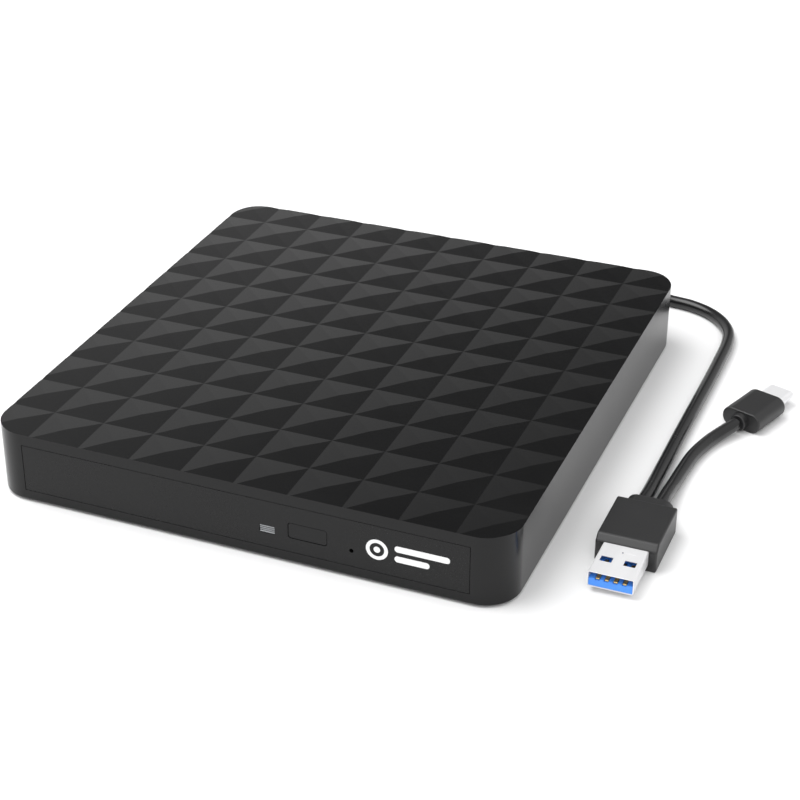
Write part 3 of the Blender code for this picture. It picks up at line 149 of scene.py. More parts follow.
# CAD nodes shown as softened copies of themselves, with the radius given to their edges
SOFTENED = {
    "bottom_cover": 0.3, "rubber_foot_front_left": 0.4, "rubber_foot_front_right": 0.4,
    "rubber_foot_rear_left": 0.4, "rubber_foot_rear_right": 0.4, "cord_strain_relief": 0.3,
    "disc_tray": 0.15, "tray_under_plate": 0.1, "unit_pan": 0.1, "unit_lid": 0.1,
    "slide_rail_left": 0.12, "slide_rail_right": 0.12, "spindle_rotor": 0.1, "turntable_ring": 0.1,
    "disc_claw_1": 0.1, "disc_claw_2": 0.1, "disc_claw_3": 0.1, "spindle_motor": 0.15,
    "traverse_frame": 0.15, "pickup_sled": 0.2, "sled_motor": 0.15, "lens_holder": 0.12,
    "objective_lens": 0.05, "main_guide_rod": 0.12, "side_guide_rod": 0.12, "latch_hook": 0.12,
}

CAMERA_PLACE = (189.58, -445.53, 280.65)
CAMERA_TURN = (60.150, 0.539, 23.066)
CAMERA_LENS = 85.32
CAMERA_SHIFT = (0.0656, 0.00125)
CAMERA_SENSOR = 36.0
CAMERA_NEAR = 0.01              # metres

FLOOR_RADIUS, FLOOR_SIDES = 4000.0, 96
FLOOR_TONES = ((0.87, 0.87, 0.875, 1.0), (0.89, 0.89, 0.89, 1.0))
SKY_DIRECTION = (-0.788, 0.604, -0.136)
SKY_STOPS = ((0.0, 0.80), (0.40, 0.50), (0.53, 0.08), (0.62, 0.10), (0.78, 0.84), (1.0, 0.9))
BACKDROP = (0.93, 0.93, 0.93, 1.0)
LIGHTS = {                      # place, width and power
    "key_light": ((-750, -150, 1450), 1500, 26.0),
    "fill_light": ((500, -900, 1100), 1200, 6.0),
}


# ---------------------------------------------------------------- shapes

def object_from_bmesh(name, shape, place=None):
    """An object from a bmesh in millimetres, first moved by `place`."""
    if place is not None:
        shape.transform(place)
    shape.transform(Matrix.Scale(MM, 4))
    mesh = bpy.data.meshes.new(name)
    shape.to_mesh(mesh)
    shape.free()
    made = bpy.data.objects.new(name, mesh)
    bpy.context.scene.collection.objects.link(made)
    return made


def block(name, low, high, corner=0.0, along="Z", steps=8, place=None):
    """A box between two corners, with the four edges along one axis rounded."""
    shape = bmesh.new()
    bmesh.ops.create_cube(shape, size=1.0)
    low, high = Vector(low), Vector(high)
    size = high - low
    shape.transform(Matrix.Translation((low + high) / 2) @ Matrix.Diagonal((*size, 1.0)))
    if corner:
        axis = "XYZ".index(along)
        edges = [edge for edge in shape.edges
                 if abs((edge.verts[0].co - edge.verts[1].co)[axis]) > size[axis] / 2]
        bmesh.ops.bevel(shape, geom=edges, offset=corner, segments=steps, profile=0.5, affect="EDGES")
    return object_from_bmesh(name, shape, place)


def rod(name, centre, radius, length, along="Z", sides=48, place=None):
    """A cylinder centred on a point."""
    shape = bmesh.new()
    bmesh.ops.create_cone(shape, cap_ends=True, segments=sides, radius1=radius, radius2=radius,
                          depth=length)
    turn = {"X": Matrix.Rotation(math.pi / 2, 4, "Y"),
            "Y": Matrix.Rotation(-math.pi / 2, 4, "X"),
            "Z": Matrix.Identity(4)}[along]
    shape.transform(Matrix.Translation(centre) @ turn)
    return object_from_bmesh(name, shape, place)


def bake(piece, angle=SMOOTH_ANGLE):
    """Applies the modifiers and shades smooth up to an angle, with flat faces kept flat."""
    graph = bpy.context.evaluated_depsgraph_get()
    mesh = bpy.data.meshes.new_from_object(piece.evaluated_get(graph))
    piece.modifiers.clear()
    piece.data = mesh
    mesh.shade_smooth()
    mesh.set_sharp_from_angle(angle=math.radians(angle))
    normals = piece.modifiers.new("normals", "WEIGHTED_NORMAL")
    normals.weight = FLAT_FACE_WEIGHT
    normals.keep_sharp = True
    return piece


def boolean(target, others, operation="DIFFERENCE"):
    """Cuts with, joins or keeps the overlap with other solids, which are then removed."""
    for other in others:
        modifier = target.modifiers.new(other.name, "BOOLEAN")
        modifier.operation = operation
        modifier.solver = "EXACT"
        modifier.object = other
    bake(target)
    for other in others:
        bpy.data.objects.remove(other, do_unlink=True)
    return target


def soften(target, width, segments=3, angle=EDGE_ANGLE):
    """Rounds the sharp edges with a small radius."""
    modifier = target.modifiers.new("edge", "BEVEL")
    modifier.width = width * MM
    modifier.segments = segments
    modifier.limit_method = "ANGLE"
    modifier.angle_limit = math.radians(angle)
    return bake(target, angle=SMOOTH_SOFTENED)


def prism(name, outline, left, right):
    """A solid with an outline in Y and Z, drawn out along X."""
    shape = bmesh.new()
    face = shape.faces.new([shape.verts.new((left, y, z)) for y, z in outline])
    drawn = bmesh.ops.extrude_face_region(shape, geom=[face])["geom"]
    moved = [item for item in drawn if isinstance(item, bmesh.types.BMVert)]
    bmesh.ops.translate(shape, verts=moved, vec=(right - left, 0.0, 0.0))
    bmesh.ops.recalc_face_normals(shape, faces=shape.faces[:])
    return object_from_bmesh(name, shape)


def smooth_points(route, step):
    """Evenly spaced points on a Catmull-Rom curve through the route."""
    knots = [Vector(point) for point in route]
    knots = [2 * knots[0] - knots[1]] + knots + [2 * knots[-1] - knots[-2]]
    fine = []
    for index in range(1, len(knots) - 2):
        before, start, end, after = knots[index - 1:index + 3]
        for count in range(CURVE_SAMPLES):
            t = count / CURVE_SAMPLES
            fine.append(0.5 * (2 * start + (end - before) * t
                               + (2 * before - 5 * start + 4 * end - after) * t * t
                               + (3 * start - before - 3 * end + after) * t ** 3))
    fine.append(knots[-2])
    points = [fine[0]]
    for point in fine[1:]:
        if (point - points[-1]).length >= step:
            points.append(point)
    points[-1] = fine[-1]
    return points


# ---------------------------------------------------------------- materials

MIX_COLOUR_SOCKETS, MIX_COLOUR_RESULT = (0, 6, 7), 2    # a Mix node's sockets when it mixes colours
NOISE_LOW, NOISE_HIGH = 0.3, 0.7        # the range that nearly all of the noise falls in
WEAR_OFFSET = 0.25
RUN_PITCH, RUN_WIDTH, RUN_RELIEF = 3.0, 0.05, 0.03
PAD_PITCH, PAD_SIZE = 2.6, 0.16
CLEAR_BLACK, CLEAR_WHITE = (0, 0, 0, 1), (1, 1, 1, 1)
SOLDER_MASK, MASKED_COPPER = (0.008, 0.075, 0.035, 1.0), (0.02, 0.16, 0.07, 1.0)
BARE_PAD = (0.62, 0.50, 0.26, 1.0)
TRACK_PITCH, TRACK_RELIEF = 6.2, 0.02
AMBER_FILM, COPPER_TRACK = (0.26, 0.11, 0.02, 1.0), (0.50, 0.27, 0.08, 1.0)


class Nodes:
    """A material's node tree, with short calls that add and link nodes."""

    def __init__(self, name):
        self.material = bpy.data.materials.new(name)
        self.material.use_nodes = True
        self.tree = self.material.node_tree
        self.shader = self.tree.nodes["Principled BSDF"]
        self.place = self.add("ShaderNodeTexCoord").outputs["Object"]

    def add(self, kind, **inputs):
        """Adds a node and sets or links its inputs, named with _ for a space."""
        node = self.tree.nodes.new(kind)
        for key, value in inputs.items():
            socket = node.inputs[key.replace("_", " ")]
            if isinstance(value, bpy.types.NodeSocket):
                self.tree.links.new(value, socket)
            else:
                socket.default_value = value
        return node

    def link(self, output, name):
        """Feeds one of the shader's sockets."""
        self.tree.links.new(output, self.shader.inputs[name])

    def stretched(self, stretch):
        """Object coordinates scaled by a different amount along each axis."""
        return self.add("ShaderNodeMapping", Vector=self.place, Scale=stretch).outputs["Vector"]

    def noise(self, size, where=None, detail=2.0):
        """Noise whose blobs are about `size` millimetres wide."""
        node = self.add("ShaderNodeTexNoise", Vector=where or self.place, Scale=1.0 / (size * MM),
                        Detail=detail)
        return node.outputs["Fac"]

    def between(self, factor, low, high):
        """A number that follows `factor` from low to high."""
        return self.add("ShaderNodeMapRange", Value=factor, From_Min=NOISE_LOW, From_Max=NOISE_HIGH,
                        To_Min=low, To_Max=high).outputs["Result"]

    def mix(self, factor, first, second):
        """Two colours mixed by a factor."""
        node = self.tree.nodes.new("ShaderNodeMix")
        node.data_type = "RGBA"
        for index, value in zip(MIX_COLOUR_SOCKETS, (factor, first, second)):
            socket = node.inputs[index]
            if isinstance(value, bpy.types.NodeSocket):
                self.tree.links.new(value, socket)
            else:
                socket.default_value = value
        return node.outputs[MIX_COLOUR_RESULT]

    def bump(self, height, depth, after=None):
        """A bump of `depth` millimetres, on top of another when given."""
        node = self.add("ShaderNodeBump", Height=height, Distance=depth * MM, Strength=1.0)
        if after is not None:
            self.tree.links.new(after, node.inputs["Normal"])
        return node.outputs["Normal"]


def shade(colour, factor):
    """A colour made darker or lighter, with full opacity."""
    return (*(min(1.0, channel * factor) for channel in colour), 1.0)


def surface(name, colour, roughness, metallic=0.0, grain=0.35, relief=0.004, mottle=0.12,
            patch=14.0, spread=0.04, stretch=(1.0, 1.0, 1.0), **shader):
    """Moulded, cast or brushed material: fine grain, soft patches and uneven gloss."""
    nodes = Nodes(name)
    where = nodes.stretched(stretch)
    broad = nodes.noise(patch, where, 3.0)
    fine = nodes.noise(grain, where, 3.0)
    tint = nodes.mix(broad, shade(colour, 1.0 - mottle), shade(colour, 1.0 + mottle))
    nodes.link(tint, "Base Color")
    worn = nodes.add("ShaderNodeMath", Value=broad)
    worn.operation = "MULTIPLY_ADD"
    nodes.tree.links.new(fine, worn.inputs[1])
    worn.inputs[2].default_value = WEAR_OFFSET
    nodes.link(nodes.between(worn.outputs[0], roughness - spread, roughness + spread), "Roughness")
    nodes.link(nodes.bump(fine, relief), "Normal")
    nodes.shader.inputs["Metallic"].default_value = metallic
    for socket, value in shader.items():
        nodes.shader.inputs[socket.replace("_", " ")].default_value = value
    return nodes.material


def circuit_board(name):
    """Green solder mask with lighter copper runs under it and small bare pads."""
    nodes = Nodes(name)
    runs = nodes.add("ShaderNodeTexBrick", Vector=nodes.place, Scale=1.0 / (RUN_PITCH * MM),
                     Mortar_Size=RUN_WIDTH, Color1=CLEAR_BLACK, Color2=CLEAR_BLACK,
                     Mortar=CLEAR_WHITE).outputs["Fac"]
    pads = nodes.add("ShaderNodeTexVoronoi", Vector=nodes.place, Scale=1.0 / (PAD_PITCH * MM))
    pad = nodes.add("ShaderNodeMath", Value=pads.outputs["Distance"])
    pad.operation = "LESS_THAN"
    pad.inputs[1].default_value = PAD_SIZE
    mask = nodes.mix(runs, SOLDER_MASK, MASKED_COPPER)
    nodes.link(nodes.mix(pad.outputs[0], mask, BARE_PAD), "Base Color")
    nodes.link(nodes.between(nodes.noise(4.0), 0.30, 0.45), "Roughness")
    nodes.link(nodes.bump(runs, RUN_RELIEF), "Normal")
    return nodes.material


def flat_cable(name):
    """Amber film over parallel copper tracks."""
    nodes = Nodes(name)
    wave = nodes.add("ShaderNodeTexWave", Vector=nodes.place, Scale=1.0 / (TRACK_PITCH * MM), Distortion=0.0)
    tracks = nodes.between(wave.outputs["Fac"], 0.0, 1.0)
    nodes.link(nodes.mix(tracks, AMBER_FILM, COPPER_TRACK), "Base Color")
    nodes.link(nodes.between(nodes.noise(5.0), 0.25, 0.40), "Roughness")
    nodes.link(nodes.bump(tracks, TRACK_RELIEF), "Normal")
    return nodes.material


BLACK = (0.005, 0.005, 0.0052)
FINISHES = {
    "case_plastic": surface("case_plastic", BLACK, 0.20, relief=0.0006, spread=0.02, IOR=1.34),
    "panel_plastic": surface("panel_plastic", BLACK, 0.28, relief=0.001, spread=0.02, IOR=1.34),
    "tray_plastic": surface("tray_plastic", (0.016, 0.016, 0.017), 0.48, grain=0.4, relief=0.012),
    "lamp_plastic": surface("lamp_plastic", (0.26, 0.27, 0.28), 0.30, relief=0.004, mottle=0.06,
                            Coat_Weight=0.3),
    "foot_rubber": surface("foot_rubber", (0.02, 0.02, 0.021), 0.82, grain=0.5, relief=0.03, mottle=0.2),
    "sheet_steel": surface("sheet_steel", (0.56, 0.57, 0.58), 0.36, 1.0, grain=0.5, mottle=0.06,
                           stretch=(0.08, 1.0, 1.0)),
    "bright_steel": surface("bright_steel", (0.75, 0.75, 0.76), 0.18, 1.0, grain=0.3, relief=0.001,
                            mottle=0.04, stretch=(1.0, 0.1, 1.0)),
    "screw_steel": surface("screw_steel", (0.18, 0.18, 0.19), 0.40, 1.0, grain=0.3),
    "motor_steel": surface("motor_steel", (0.60, 0.60, 0.60), 0.30, 1.0, grain=0.4, mottle=0.05),
    "zinc_casting": surface("zinc_casting", (0.42, 0.42, 0.44), 0.52, 1.0, grain=0.6, relief=0.02),
    "slide_plastic": surface("slide_plastic", (0.70, 0.69, 0.66), 0.45, mottle=0.05, relief=0.006),
    "hub_plastic": surface("hub_plastic", (0.03, 0.03, 0.03), 0.40, relief=0.006),
    "lens_glass": surface("lens_glass", (0.10, 0.20, 0.42), 0.06, relief=0.0002, mottle=0.3, patch=1.5,
                          spread=0.02, Coat_Weight=1.0),
    "board_green": circuit_board("board_green"),
    "chip_black": surface("chip_black", (0.012, 0.012, 0.012), 0.55, grain=0.25, relief=0.008),
    "flex_brown": flat_cable("flex_brown"),
    "cord_black": surface("cord_black", (0.008, 0.008, 0.0085), 0.24, grain=0.5, relief=0.003, patch=9.0),
    "plug_black": surface("plug_black", (0.014, 0.014, 0.0145), 0.42, grain=0.3, relief=0.008),
    "plug_nickel": surface("plug_nickel", (0.79, 0.79, 0.80), 0.36, 0.35, grain=0.3, relief=0.001,
                           mottle=0.04, patch=4.0, stretch=(1.0, 0.15, 1.0)),
    "tongue_blue": surface("tongue_blue", (0.06, 0.27, 0.86), 0.38, mottle=0.06, patch=3.0),
    "contact_gold": surface("contact_gold", (0.83, 0.58, 0.24), 0.25, 1.0, grain=0.2, relief=0.001,
                            mottle=0.08, patch=2.0),
    "print_white": surface("print_white", (0.82, 0.82, 0.82), 0.45, grain=0.2, relief=0.003,
                           mottle=0.03, patch=2.0),
}


def paint(piece, finish):
    """Gives a piece one material all over."""
    piece.data.materials.clear()
    piece.data.materials.append(FINISHES[finish])


def place_piece(piece, finish, body, replaced=()):
    """Paints a finished piece, hangs it on its body and hides the CAD nodes that it stands for."""
    paint(piece, finish)
    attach(piece, body)
    if replaced:
        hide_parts(*replaced)


def paint_cad_nodes():
    """Every CAD node gets the procedural material of its slot."""
    for entry in frame["record"]["subparts"]:
        paint(frame["nodes"][entry["node"]], entry["material_slot"])


def body_of_node(node):
    """The moving body that a CAD node belongs to."""
    bodies = frame["record"]["behaviour"]["bodies"]
    return next(body for body, nodes in bodies.items() if node in nodes)


def finish_of_node(node):
    """The material slot that the record gives a CAD node."""
    return next(entry["material_slot"] for entry in frame["record"]["subparts"] if entry["node"] == node)


def soften_cad_nodes():
    """Shows moulded and turned nodes as copies with rounded edges and smooth round faces."""
    for node, width in SOFTENED.items():
        source = frame["nodes"][node]
        piece = bpy.data.objects.new(f"{node}_soft", source.data.copy())
        piece.matrix_world = source.matrix_world.copy()
        bpy.context.scene.collection.objects.link(piece)
        weld = piece.modifiers.new("weld", "WELD")
        weld.merge_threshold = WELD_DISTANCE * MM
        edge = piece.modifiers.new("edge", "BEVEL")
        edge.width = width * MM
        edge.segments = 2
        edge.limit_method = "ANGLE"
        edge.angle_limit = math.radians(EDGE_ANGLE_CAD)
        edge.use_clamp_overlap = True
        bake(piece, angle=SMOOTH_TURNED)
        place_piece(piece, finish_of_node(node), body_of_node(node), [node])


# ---------------------------------------------------------------- camera and cords

def make_camera():
    """Camera at the viewing angle, with the shift that frames the object."""
    data = bpy.data.cameras.new("camera")
    data.lens = CAMERA_LENS
    data.sensor_width = CAMERA_SENSOR
    data.shift_x, data.shift_y = CAMERA_SHIFT
    data.clip_start = CAMERA_NEAR
    camera = bpy.data.objects.new("camera", data)
    camera.location = Vector(CAMERA_PLACE) * MM
    camera.rotation_euler = [math.radians(angle) for angle in CAMERA_TURN]
    bpy.context.scene.collection.objects.link(camera)
    bpy.context.scene.camera = camera


def make_cord(name, route, node):
    """A round jacketed cord that ends in a plug."""
    points = smooth_points(route, CORD_STEP)
    curve = bpy.data.curves.new(name, "CURVE")
    curve.dimensions = "3D"
    curve.bevel_depth = CORD_RADIUS * MM
    curve.bevel_resolution = CORD_ROUNDNESS
    curve.use_fill_caps = True
    spline = curve.splines.new("POLY")
    spline.use_smooth = True
    spline.points.add(len(points) - 1)
    for target, point in zip(spline.points, points):
        target.co = (*(point * MM), 1.0)
    cord = bpy.data.objects.new(name, curve)
    bpy.context.scene.collection.objects.link(cord)
    place_piece(cord, "cord_black", "case", [node])


def make_flat_body():
    """Overmould with a sloped front edge, a collar for the two cords and a socket for the shell."""
    x, z = FLAT_PLUG_X, FLAT_PLUG_Z
    half, high = FLAT_BODY_HALF, FLAT_BODY_HEIGHT
    outline = [(FLAT_BODY_FRONT, 0.0), (FLAT_BODY_FRONT, high - FLAT_SLOPE_DROP),
               (FLAT_BODY_FRONT + FLAT_SLOPE_DEPTH, high), (FLAT_BODY_BACK, high), (FLAT_BODY_BACK, 0.0)]
    body = soften(prism("flat_plug_body", outline, x - half, x + half), FLAT_BODY_EDGE, segments=5)
    wide, tall = COLLAR_HALF
    collar = block("flat_plug_collar", (x - wide, FLAT_BODY_BACK - CUT_MARGIN, z - tall),
                   (x + wide, COLLAR_BACK, z + tall), corner=COLLAR_CORNER, along="Y", steps=12)
    soften(collar, COLLAR_EDGE, segments=4)
    boolean(body, [collar], "UNION")
    wide, tall = FLAT_SHELL_HALF
    socket = block("flat_plug_socket",
                   (x - wide - SOCKET_GAP, FLAT_BODY_FRONT - CUT_MARGIN, z - tall - SOCKET_GAP),
                   (x + wide + SOCKET_GAP, FLAT_SHELL_BACK + SOCKET_GAP, z + tall + SOCKET_GAP))
    place_piece(boolean(body, [socket]), "plug_black", "case", ["usb_a_overmould"])


def make_flat_shell():
    """Open metal shell with two ports, a dimple and the crease where the sheet meets."""
    x, z = FLAT_PLUG_X, FLAT_PLUG_Z
    front, wall = FLAT_SHELL_FRONT, FLAT_SHELL_WALL
    wide, tall = FLAT_SHELL_HALF
    shell = block("flat_plug_shell", (x - wide, front, z - tall), (x + wide, FLAT_SHELL_BACK, z + tall),
                  corner=FLAT_SHELL_CORNER, along="Y", steps=5)
    bore = block("flat_shell_bore", (x - wide + wall, front - CUT_MARGIN, z - tall + wall),
                 (x + wide - wall, FLAT_SHELL_BACK - wall, z + tall - wall), corner=FLAT_BORE_CORNER,
                 along="Y", steps=3)
    ports = [block(f"flat_shell_port_{sign}",
                   (x + PORT_X * sign - PORT_HALF, front + PORT_START, z + PORT_FLOOR),
                   (x + PORT_X * sign + PORT_HALF, front + PORT_END, z + tall + CUT_MARGIN),
                   corner=PORT_CORNER)
             for sign in (-1, 1)]
    dimple = rod("flat_shell_dimple", (x, front + DIMPLE_BACK, z + tall), DIMPLE_RADIUS, DIMPLE_LENGTH,
                 sides=24)
    crease = block("flat_shell_crease", (x + CREASE_LEFT, front + CREASE_START, z + tall - CREASE_DEPTH),
                   (x + CREASE_RIGHT, front + CREASE_END, z + tall + CREASE_OVER))
    boolean(shell, [bore, *ports, dimple, crease])
    place_piece(soften(shell, FLAT_SHELL_EDGE, segments=2), "plug_nickel", "case", ["usb_a_shell"])


def make_flat_tongue():
    """Blue tongue with a slot for each of the four gilt contacts, and the contacts."""
    x, z = FLAT_PLUG_X, FLAT_PLUG_Z
    front, wall = FLAT_SHELL_FRONT, FLAT_SHELL_WALL
    wide, tall = FLAT_SHELL_HALF
    low, top = z - tall + wall + TONGUE_ABOVE_FLOOR, z + TONGUE_TOP
    inner = wide - wall - TONGUE_SIDE_GAP
    tongue = block("flat_plug_tongue", (x - inner, front + TONGUE_START, low),
                   (x + inner, FLAT_BODY_FRONT + TONGUE_ROOT, top))
    slots = [block(f"tongue_slot_{number}", (x + offset - SLOT_HALF, front - SLOT_START, top - SLOT_DEPTH),
                   (x + offset + SLOT_HALF, front + SLOT_END, top + SLOT_OVER))
             for number, offset in enumerate(CONTACT_PLACES)]
    boolean(tongue, slots)
    place_piece(soften(tongue, TONGUE_EDGE, segments=2), "tongue_blue", "case", ["usb_a_tongue"])
    for number, offset in enumerate(CONTACT_PLACES, start=1):
        contact = block(f"flat_plug_contact_{number}",
                        (x + offset - CONTACT_HALF, front + CONTACT_START, top - CONTACT_SUNK),
                        (x + offset + CONTACT_HALF, front + CONTACT_END, top + CONTACT_PROUD),
                        corner=CONTACT_CORNER, along="X", steps=3)
        soften(contact, CONTACT_EDGE, segments=2)
        place_piece(contact, "contact_gold", "case", [f"usb_a_contact_{number}"])


def make_small_plug():
    """Small plug: round-sided overmould with a ring neck, and its oval shell with a tongue slot."""
    half, high, length = SMALL_BODY_HALF, SMALL_BODY_HEIGHT, SMALL_BODY_LENGTH
    z = high / 2
    body = block("small_plug_body", (-half, 0.0, 0.0), (half, length, high), corner=z - SMALL_BODY_FLAT,
                 along="Y", steps=16, place=SMALL_PLUG)
    soften(body, SMALL_BODY_EDGE, segments=4, angle=EDGE_ANGLE_ROUND)
    neck = rod("small_plug_neck", (0.0, NECK_START - NECK_HALF, z), NECK_RADIUS, NECK_LENGTH, along="Y",
               place=SMALL_PLUG)
    soften(neck, NECK_EDGE, segments=4)
    boolean(body, [neck], "UNION")
    wide, tall = SMALL_SHELL_HALF
    socket = block("small_plug_socket",
                   (-wide - SOCKET_GAP, length - SMALL_SOCKET_DEPTH, z - tall - SOCKET_GAP),
                   (wide + SOCKET_GAP, length + CUT_MARGIN, z + tall + SOCKET_GAP), corner=tall, along="Y",
                   steps=10, place=SMALL_PLUG)
    place_piece(boolean(body, [socket]), "plug_black", "case", ["usb_c_overmould"])

    tip = length + SMALL_SHELL_LENGTH
    shell = block("small_plug_shell", (-wide, length - SMALL_SHELL_ROOT, z - tall), (wide, tip, z + tall),
                  corner=tall - SMALL_SHELL_FLAT, along="Y", steps=10, place=SMALL_PLUG)
    soften(shell, SMALL_SHELL_EDGE, segments=3, angle=EDGE_ANGLE_ROUND)
    wall = SMALL_SHELL_WALL
    bore = block("small_shell_bore", (wall - wide, length - CUT_MARGIN, z - tall + wall),
                 (wide - wall, tip + CUT_MARGIN, z + tall - wall), corner=tall - wall - SMALL_SHELL_FLAT,
                 along="Y", steps=8, place=SMALL_PLUG)
    place_piece(boolean(shell, [bore]), "plug_nickel", "case", ["usb_c_shell"])


def make_cords():
    """The main cord from the back wall to the flat plug, and the pigtail to the small plug."""
    make_flat_body()
    make_flat_shell()
    make_flat_tongue()
    make_small_plug()
    flat_plug = ["flat_plug_body", "flat_plug_shell", "flat_plug_tongue"]
    flat_plug += [f"flat_plug_contact_{number}" for number in range(1, 5)]
    make_cord("main_cord_jacket", MAIN_ROUTE, "main_cord")
    make_cord("pigtail_jacket", PIGTAIL_ROUTE, "pigtail_cord")


# ---------------------------------------------------------------- case

def pyramid_slab():
    """A thick slab whose top is the lid's field of low pyramids."""
    shape = bmesh.new()
    bmesh.ops.create_grid(shape, x_segments=CELLS_ACROSS, y_segments=CELLS_ALONG, size=0.5)
    size = Vector((CELLS_ACROSS * CELL_WIDTH, CELLS_ALONG * CELL_DEPTH, 1.0))
    left = PATTERN_X - CELLS_BEFORE * CELL_WIDTH
    back = PATTERN_Y + CELLS_BEFORE * CELL_DEPTH
    centre = (left + size.x / 2, back - size.y / 2, LID_TOP)
    shape.transform(Matrix.Translation(centre) @ Matrix.Diagonal((*size, 1.0)))
    rim = [edge for edge in shape.edges if edge.is_boundary]
    walls = bmesh.ops.extrude_edge_only(shape, edges=rim)["geom"]
    low_edges = [item for item in walls if isinstance(item, bmesh.types.BMEdge) and item.is_boundary]
    for vertex in {vertex for edge in low_edges for vertex in edge.verts}:
        vertex.co.z = COVER_LOW.z - CUT_MARGIN
    bmesh.ops.edgeloop_fill(shape, edges=low_edges)
    bmesh.ops.recalc_face_normals(shape, faces=shape.faces[:])
    cells = [face for face in shape.faces if face.normal.z > 0.5]
    bmesh.ops.poke(shape, faces=cells, offset=CELL_RISE)
    return object_from_bmesh("pyramid_slab", shape)


def make_case_shell():
    """Lid and side walls with round corners, the faceted lid and the front and back openings."""
    shell = block("case_shell", COVER_LOW, COVER_HIGH, corner=CASE_CORNER, steps=CASE_CORNER_STEPS)
    rim = shell.modifiers.new("rim", "BEVEL")
    rim.width = RIM_ROUNDING * MM
    rim.segments = RIM_STEPS
    rim.limit_method = "VGROUP"
    rim.vertex_group = "rim"
    top = [vertex.index for vertex in shell.data.vertices if vertex.co.z > LID_TOP * MM]
    shell.vertex_groups.new(name="rim").add(top, 1.0, "REPLACE")
    bake(shell)
    boolean(shell, [pyramid_slab()], "INTERSECT")
    hollow = block("case_hollow", (COVER_LOW.x + WALL, COVER_LOW.y + WALL, -CUT_MARGIN),
                   (COVER_HIGH.x - WALL, COVER_HIGH.y - WALL, LID_UNDERSIDE), corner=CASE_CORNER - WALL,
                   steps=HOLLOW_CORNER_STEPS)
    opening = block("bezel_opening", (BEZEL_LOW.x - SEAM, FRONT_Y - WALL, BEZEL_LOW.z - SILL_SEAM),
                    (BEZEL_HIGH.x + SEAM, FRONT_Y + WALL + SEAM, BEZEL_HIGH.z + SEAM))
    exit_x, _, exit_z = MAIN_ROUTE[0]
    outlet = rod("cord_outlet", (exit_x, COVER_HIGH.y, exit_z), OUTLET_RADIUS, 4 * WALL, along="Y")
    boolean(shell, [hollow, opening, outlet])
    for face in shell.data.polygons:
        face.use_smooth = face.normal.z < LEVEL_NORMAL
    place_piece(shell, "case_plastic", "case", ["top_cover"])


def make_front_panel():
    """Tray bezel with its button, ribbed lamp and release hole."""
    back = FRONT_Y + PANEL_DEPTH
    bezel = block("front_bezel", (BEZEL_LOW.x, FRONT_Y, BEZEL_LOW.z), (BEZEL_HIGH.x, back, BEZEL_HIGH.z))
    soften(bezel, PANEL_EDGE, segments=3)
    button_low, button_high = node_box("eject_button")
    lamp_low, lamp_high = node_box("lamp_lens")
    near, far = FRONT_Y - CUT_MARGIN, back + CUT_MARGIN
    button_hole = block("button_hole", (button_low.x - SEAM, near, button_low.z - SEAM),
                        (button_high.x + SEAM, far, button_high.z + SEAM), corner=BUTTON_HOLE_CORNER,
                        along="Y")
    lamp_hole = block("lamp_hole", (lamp_low.x - SEAM, near, lamp_low.z - SEAM),
                      (lamp_high.x + SEAM, far, lamp_high.z + SEAM), corner=LAMP_HOLE_CORNER, along="Y")
    pin_hole = rod("pin_hole", (PIN_HOLE_X, FRONT_Y, PIN_HOLE_Z), PIN_HOLE_RADIUS, PIN_HOLE_LENGTH,
                   along="Y", sides=32)
    boolean(bezel, [button_hole, lamp_hole, pin_hole])
    place_piece(bezel, "panel_plastic", "tray", ["tray_bezel"])

    button = block("front_button", (button_low.x, button_low.y, button_low.z),
                   (button_high.x, button_low.y + BUTTON_DEPTH, button_high.z), corner=BUTTON_CORNER,
                   along="Y")
    soften(button, BUTTON_EDGE, segments=3)
    middle_x, middle_z = (button_low.x + button_high.x) / 2, (button_low.z + button_high.z) / 2
    stem = rod("button_stem", (middle_x, (button_low.y + STEM_START + button_high.y) / 2, middle_z),
               STEM_RADIUS, button_high.y - button_low.y - STEM_START, along="Y")
    boolean(button, [stem], "UNION")
    place_piece(button, "panel_plastic", "button", ["eject_button"])

    lamp = block("front_lamp", lamp_low, lamp_high)
    pitch = (lamp_high.z - lamp_low.z) / LAMP_RIBS
    levels = [lamp_low.z + number * pitch for number in range(1, LAMP_RIBS)]
    grooves = [block(f"lamp_groove_{number}", (lamp_low.x - CUT_MARGIN, near, level - LAMP_GROOVE_HALF),
                     (lamp_high.x + CUT_MARGIN, FRONT_Y + LAMP_GROOVE_DEPTH, level + LAMP_GROOVE_HALF))
               for number, level in enumerate(levels)]
    boolean(lamp, grooves)
    place_piece(soften(lamp, LAMP_EDGE, segments=2), "lamp_plastic", "tray", ["lamp_lens"])


def make_front_print():
    """Generic white print on the tray panel: a disc sign and two plain bars."""
    low_y, high_y = FRONT_Y - PRINT_PROUD, FRONT_Y + PRINT_SUNK
    centre = (SIGN_X, (low_y + high_y) / 2, SIGN_Z)
    sign = rod("front_print", centre, SIGN_RADIUS, high_y - low_y, along="Y", sides=64)
    ring = rod("disc_ring_cut", (SIGN_X, FRONT_Y, SIGN_Z), SIGN_RADIUS - SIGN_BAND, CUT_MARGIN, along="Y",
               sides=64)
    hub = rod("disc_hub", centre, SIGN_HUB, high_y - low_y, along="Y")
    boolean(sign, [ring])
    bars = [block(f"print_bar_{number}", (BAR_LEFT, low_y, z - BAR_HALF), (right, high_y, z + BAR_HALF),
                  corner=BAR_CORNER, along="Y", steps=6)
            for number, (z, right) in enumerate(BARS)]
    boolean(sign, [hub, *bars], "UNION")
    place_piece(sign, "print_white", "tray")


# ---------------------------------------------------------------- stage

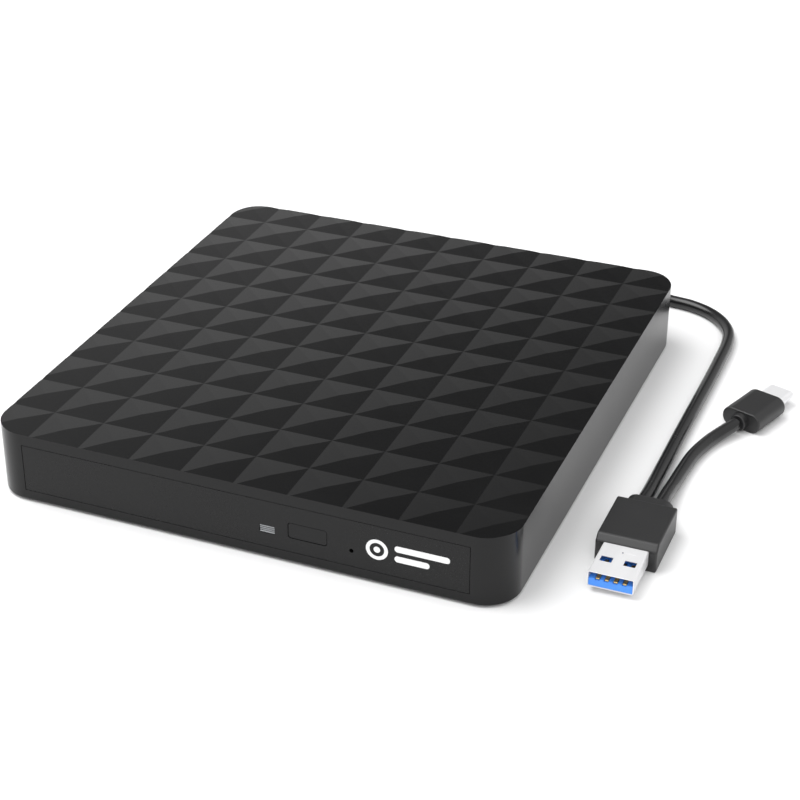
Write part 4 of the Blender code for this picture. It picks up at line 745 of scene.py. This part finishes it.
def make_floor():
    """Plain pale floor."""
    shape = bmesh.new()
    bmesh.ops.create_circle(shape, cap_ends=True, segments=FLOOR_SIDES, radius=FLOOR_RADIUS)
    floor = object_from_bmesh("floor", shape)
    nodes = Nodes("floor_paper")
    nodes.link(nodes.mix(nodes.noise(60.0), *FLOOR_TONES), "Base Color")
    nodes.link(nodes.between(nodes.noise(20.0), 0.62, 0.72), "Roughness")
    floor.data.materials.append(nodes.material)


def make_sky():
    """Soft light with a bright bank low at the back left and a dark band beside it.

    The camera sees a plain pale backdrop in its place, the same from every side.
    """
    world = bpy.data.worlds.new("studio")
    world.use_nodes = True
    nodes, links = world.node_tree.nodes, world.node_tree.links
    direction = nodes.new("ShaderNodeTexCoord")
    dot = nodes.new("ShaderNodeVectorMath")
    dot.operation = "DOT_PRODUCT"
    dot.inputs[1].default_value = Vector(SKY_DIRECTION).normalized()
    ramp = nodes.new("ShaderNodeValToRGB")
    elements = ramp.color_ramp.elements
    elements[0].position = 0.0
    elements[1].position = 1.0
    for position, _ in SKY_STOPS[1:-1]:
        elements.new(position)
    for element, (_, tone) in zip(elements, SKY_STOPS):
        element.color = (tone, tone, tone, 1.0)
    links.new(direction.outputs["Generated"], dot.inputs[0])
    links.new(dot.outputs["Value"], ramp.inputs[0])
    seen = nodes.new("ShaderNodeLightPath")
    backdrop = nodes.new("ShaderNodeMix")
    backdrop.data_type = "RGBA"
    factor, sky, plain = (backdrop.inputs[index] for index in MIX_COLOUR_SOCKETS)
    plain.default_value = BACKDROP
    links.new(seen.outputs["Is Camera Ray"], factor)
    links.new(ramp.outputs["Color"], sky)
    links.new(backdrop.outputs[MIX_COLOUR_RESULT], nodes["Background"].inputs["Color"])
    bpy.context.scene.world = world


def make_lights():
    """Two broad lamps aimed at the middle of the case's foot."""
    for name, (place, size, power) in LIGHTS.items():
        data = bpy.data.lights.new(name, "AREA")
        data.shape = "DISK"
        data.size = size * MM
        data.energy = power
        lamp = bpy.data.objects.new(name, data)
        lamp.location = Vector(place) * MM
        lamp.rotation_euler = (-Vector(place)).to_track_quat("-Z", "Y").to_euler()
        lamp.visible_camera = False
        bpy.context.scene.collection.objects.link(lamp)
    bpy.context.scene.view_settings.view_transform = "Standard"


make_camera()
paint_cad_nodes()
soften_cad_nodes()
make_cords()
make_case_shell()
make_front_panel()
make_front_print()
make_floor()
make_sky()
make_lights()
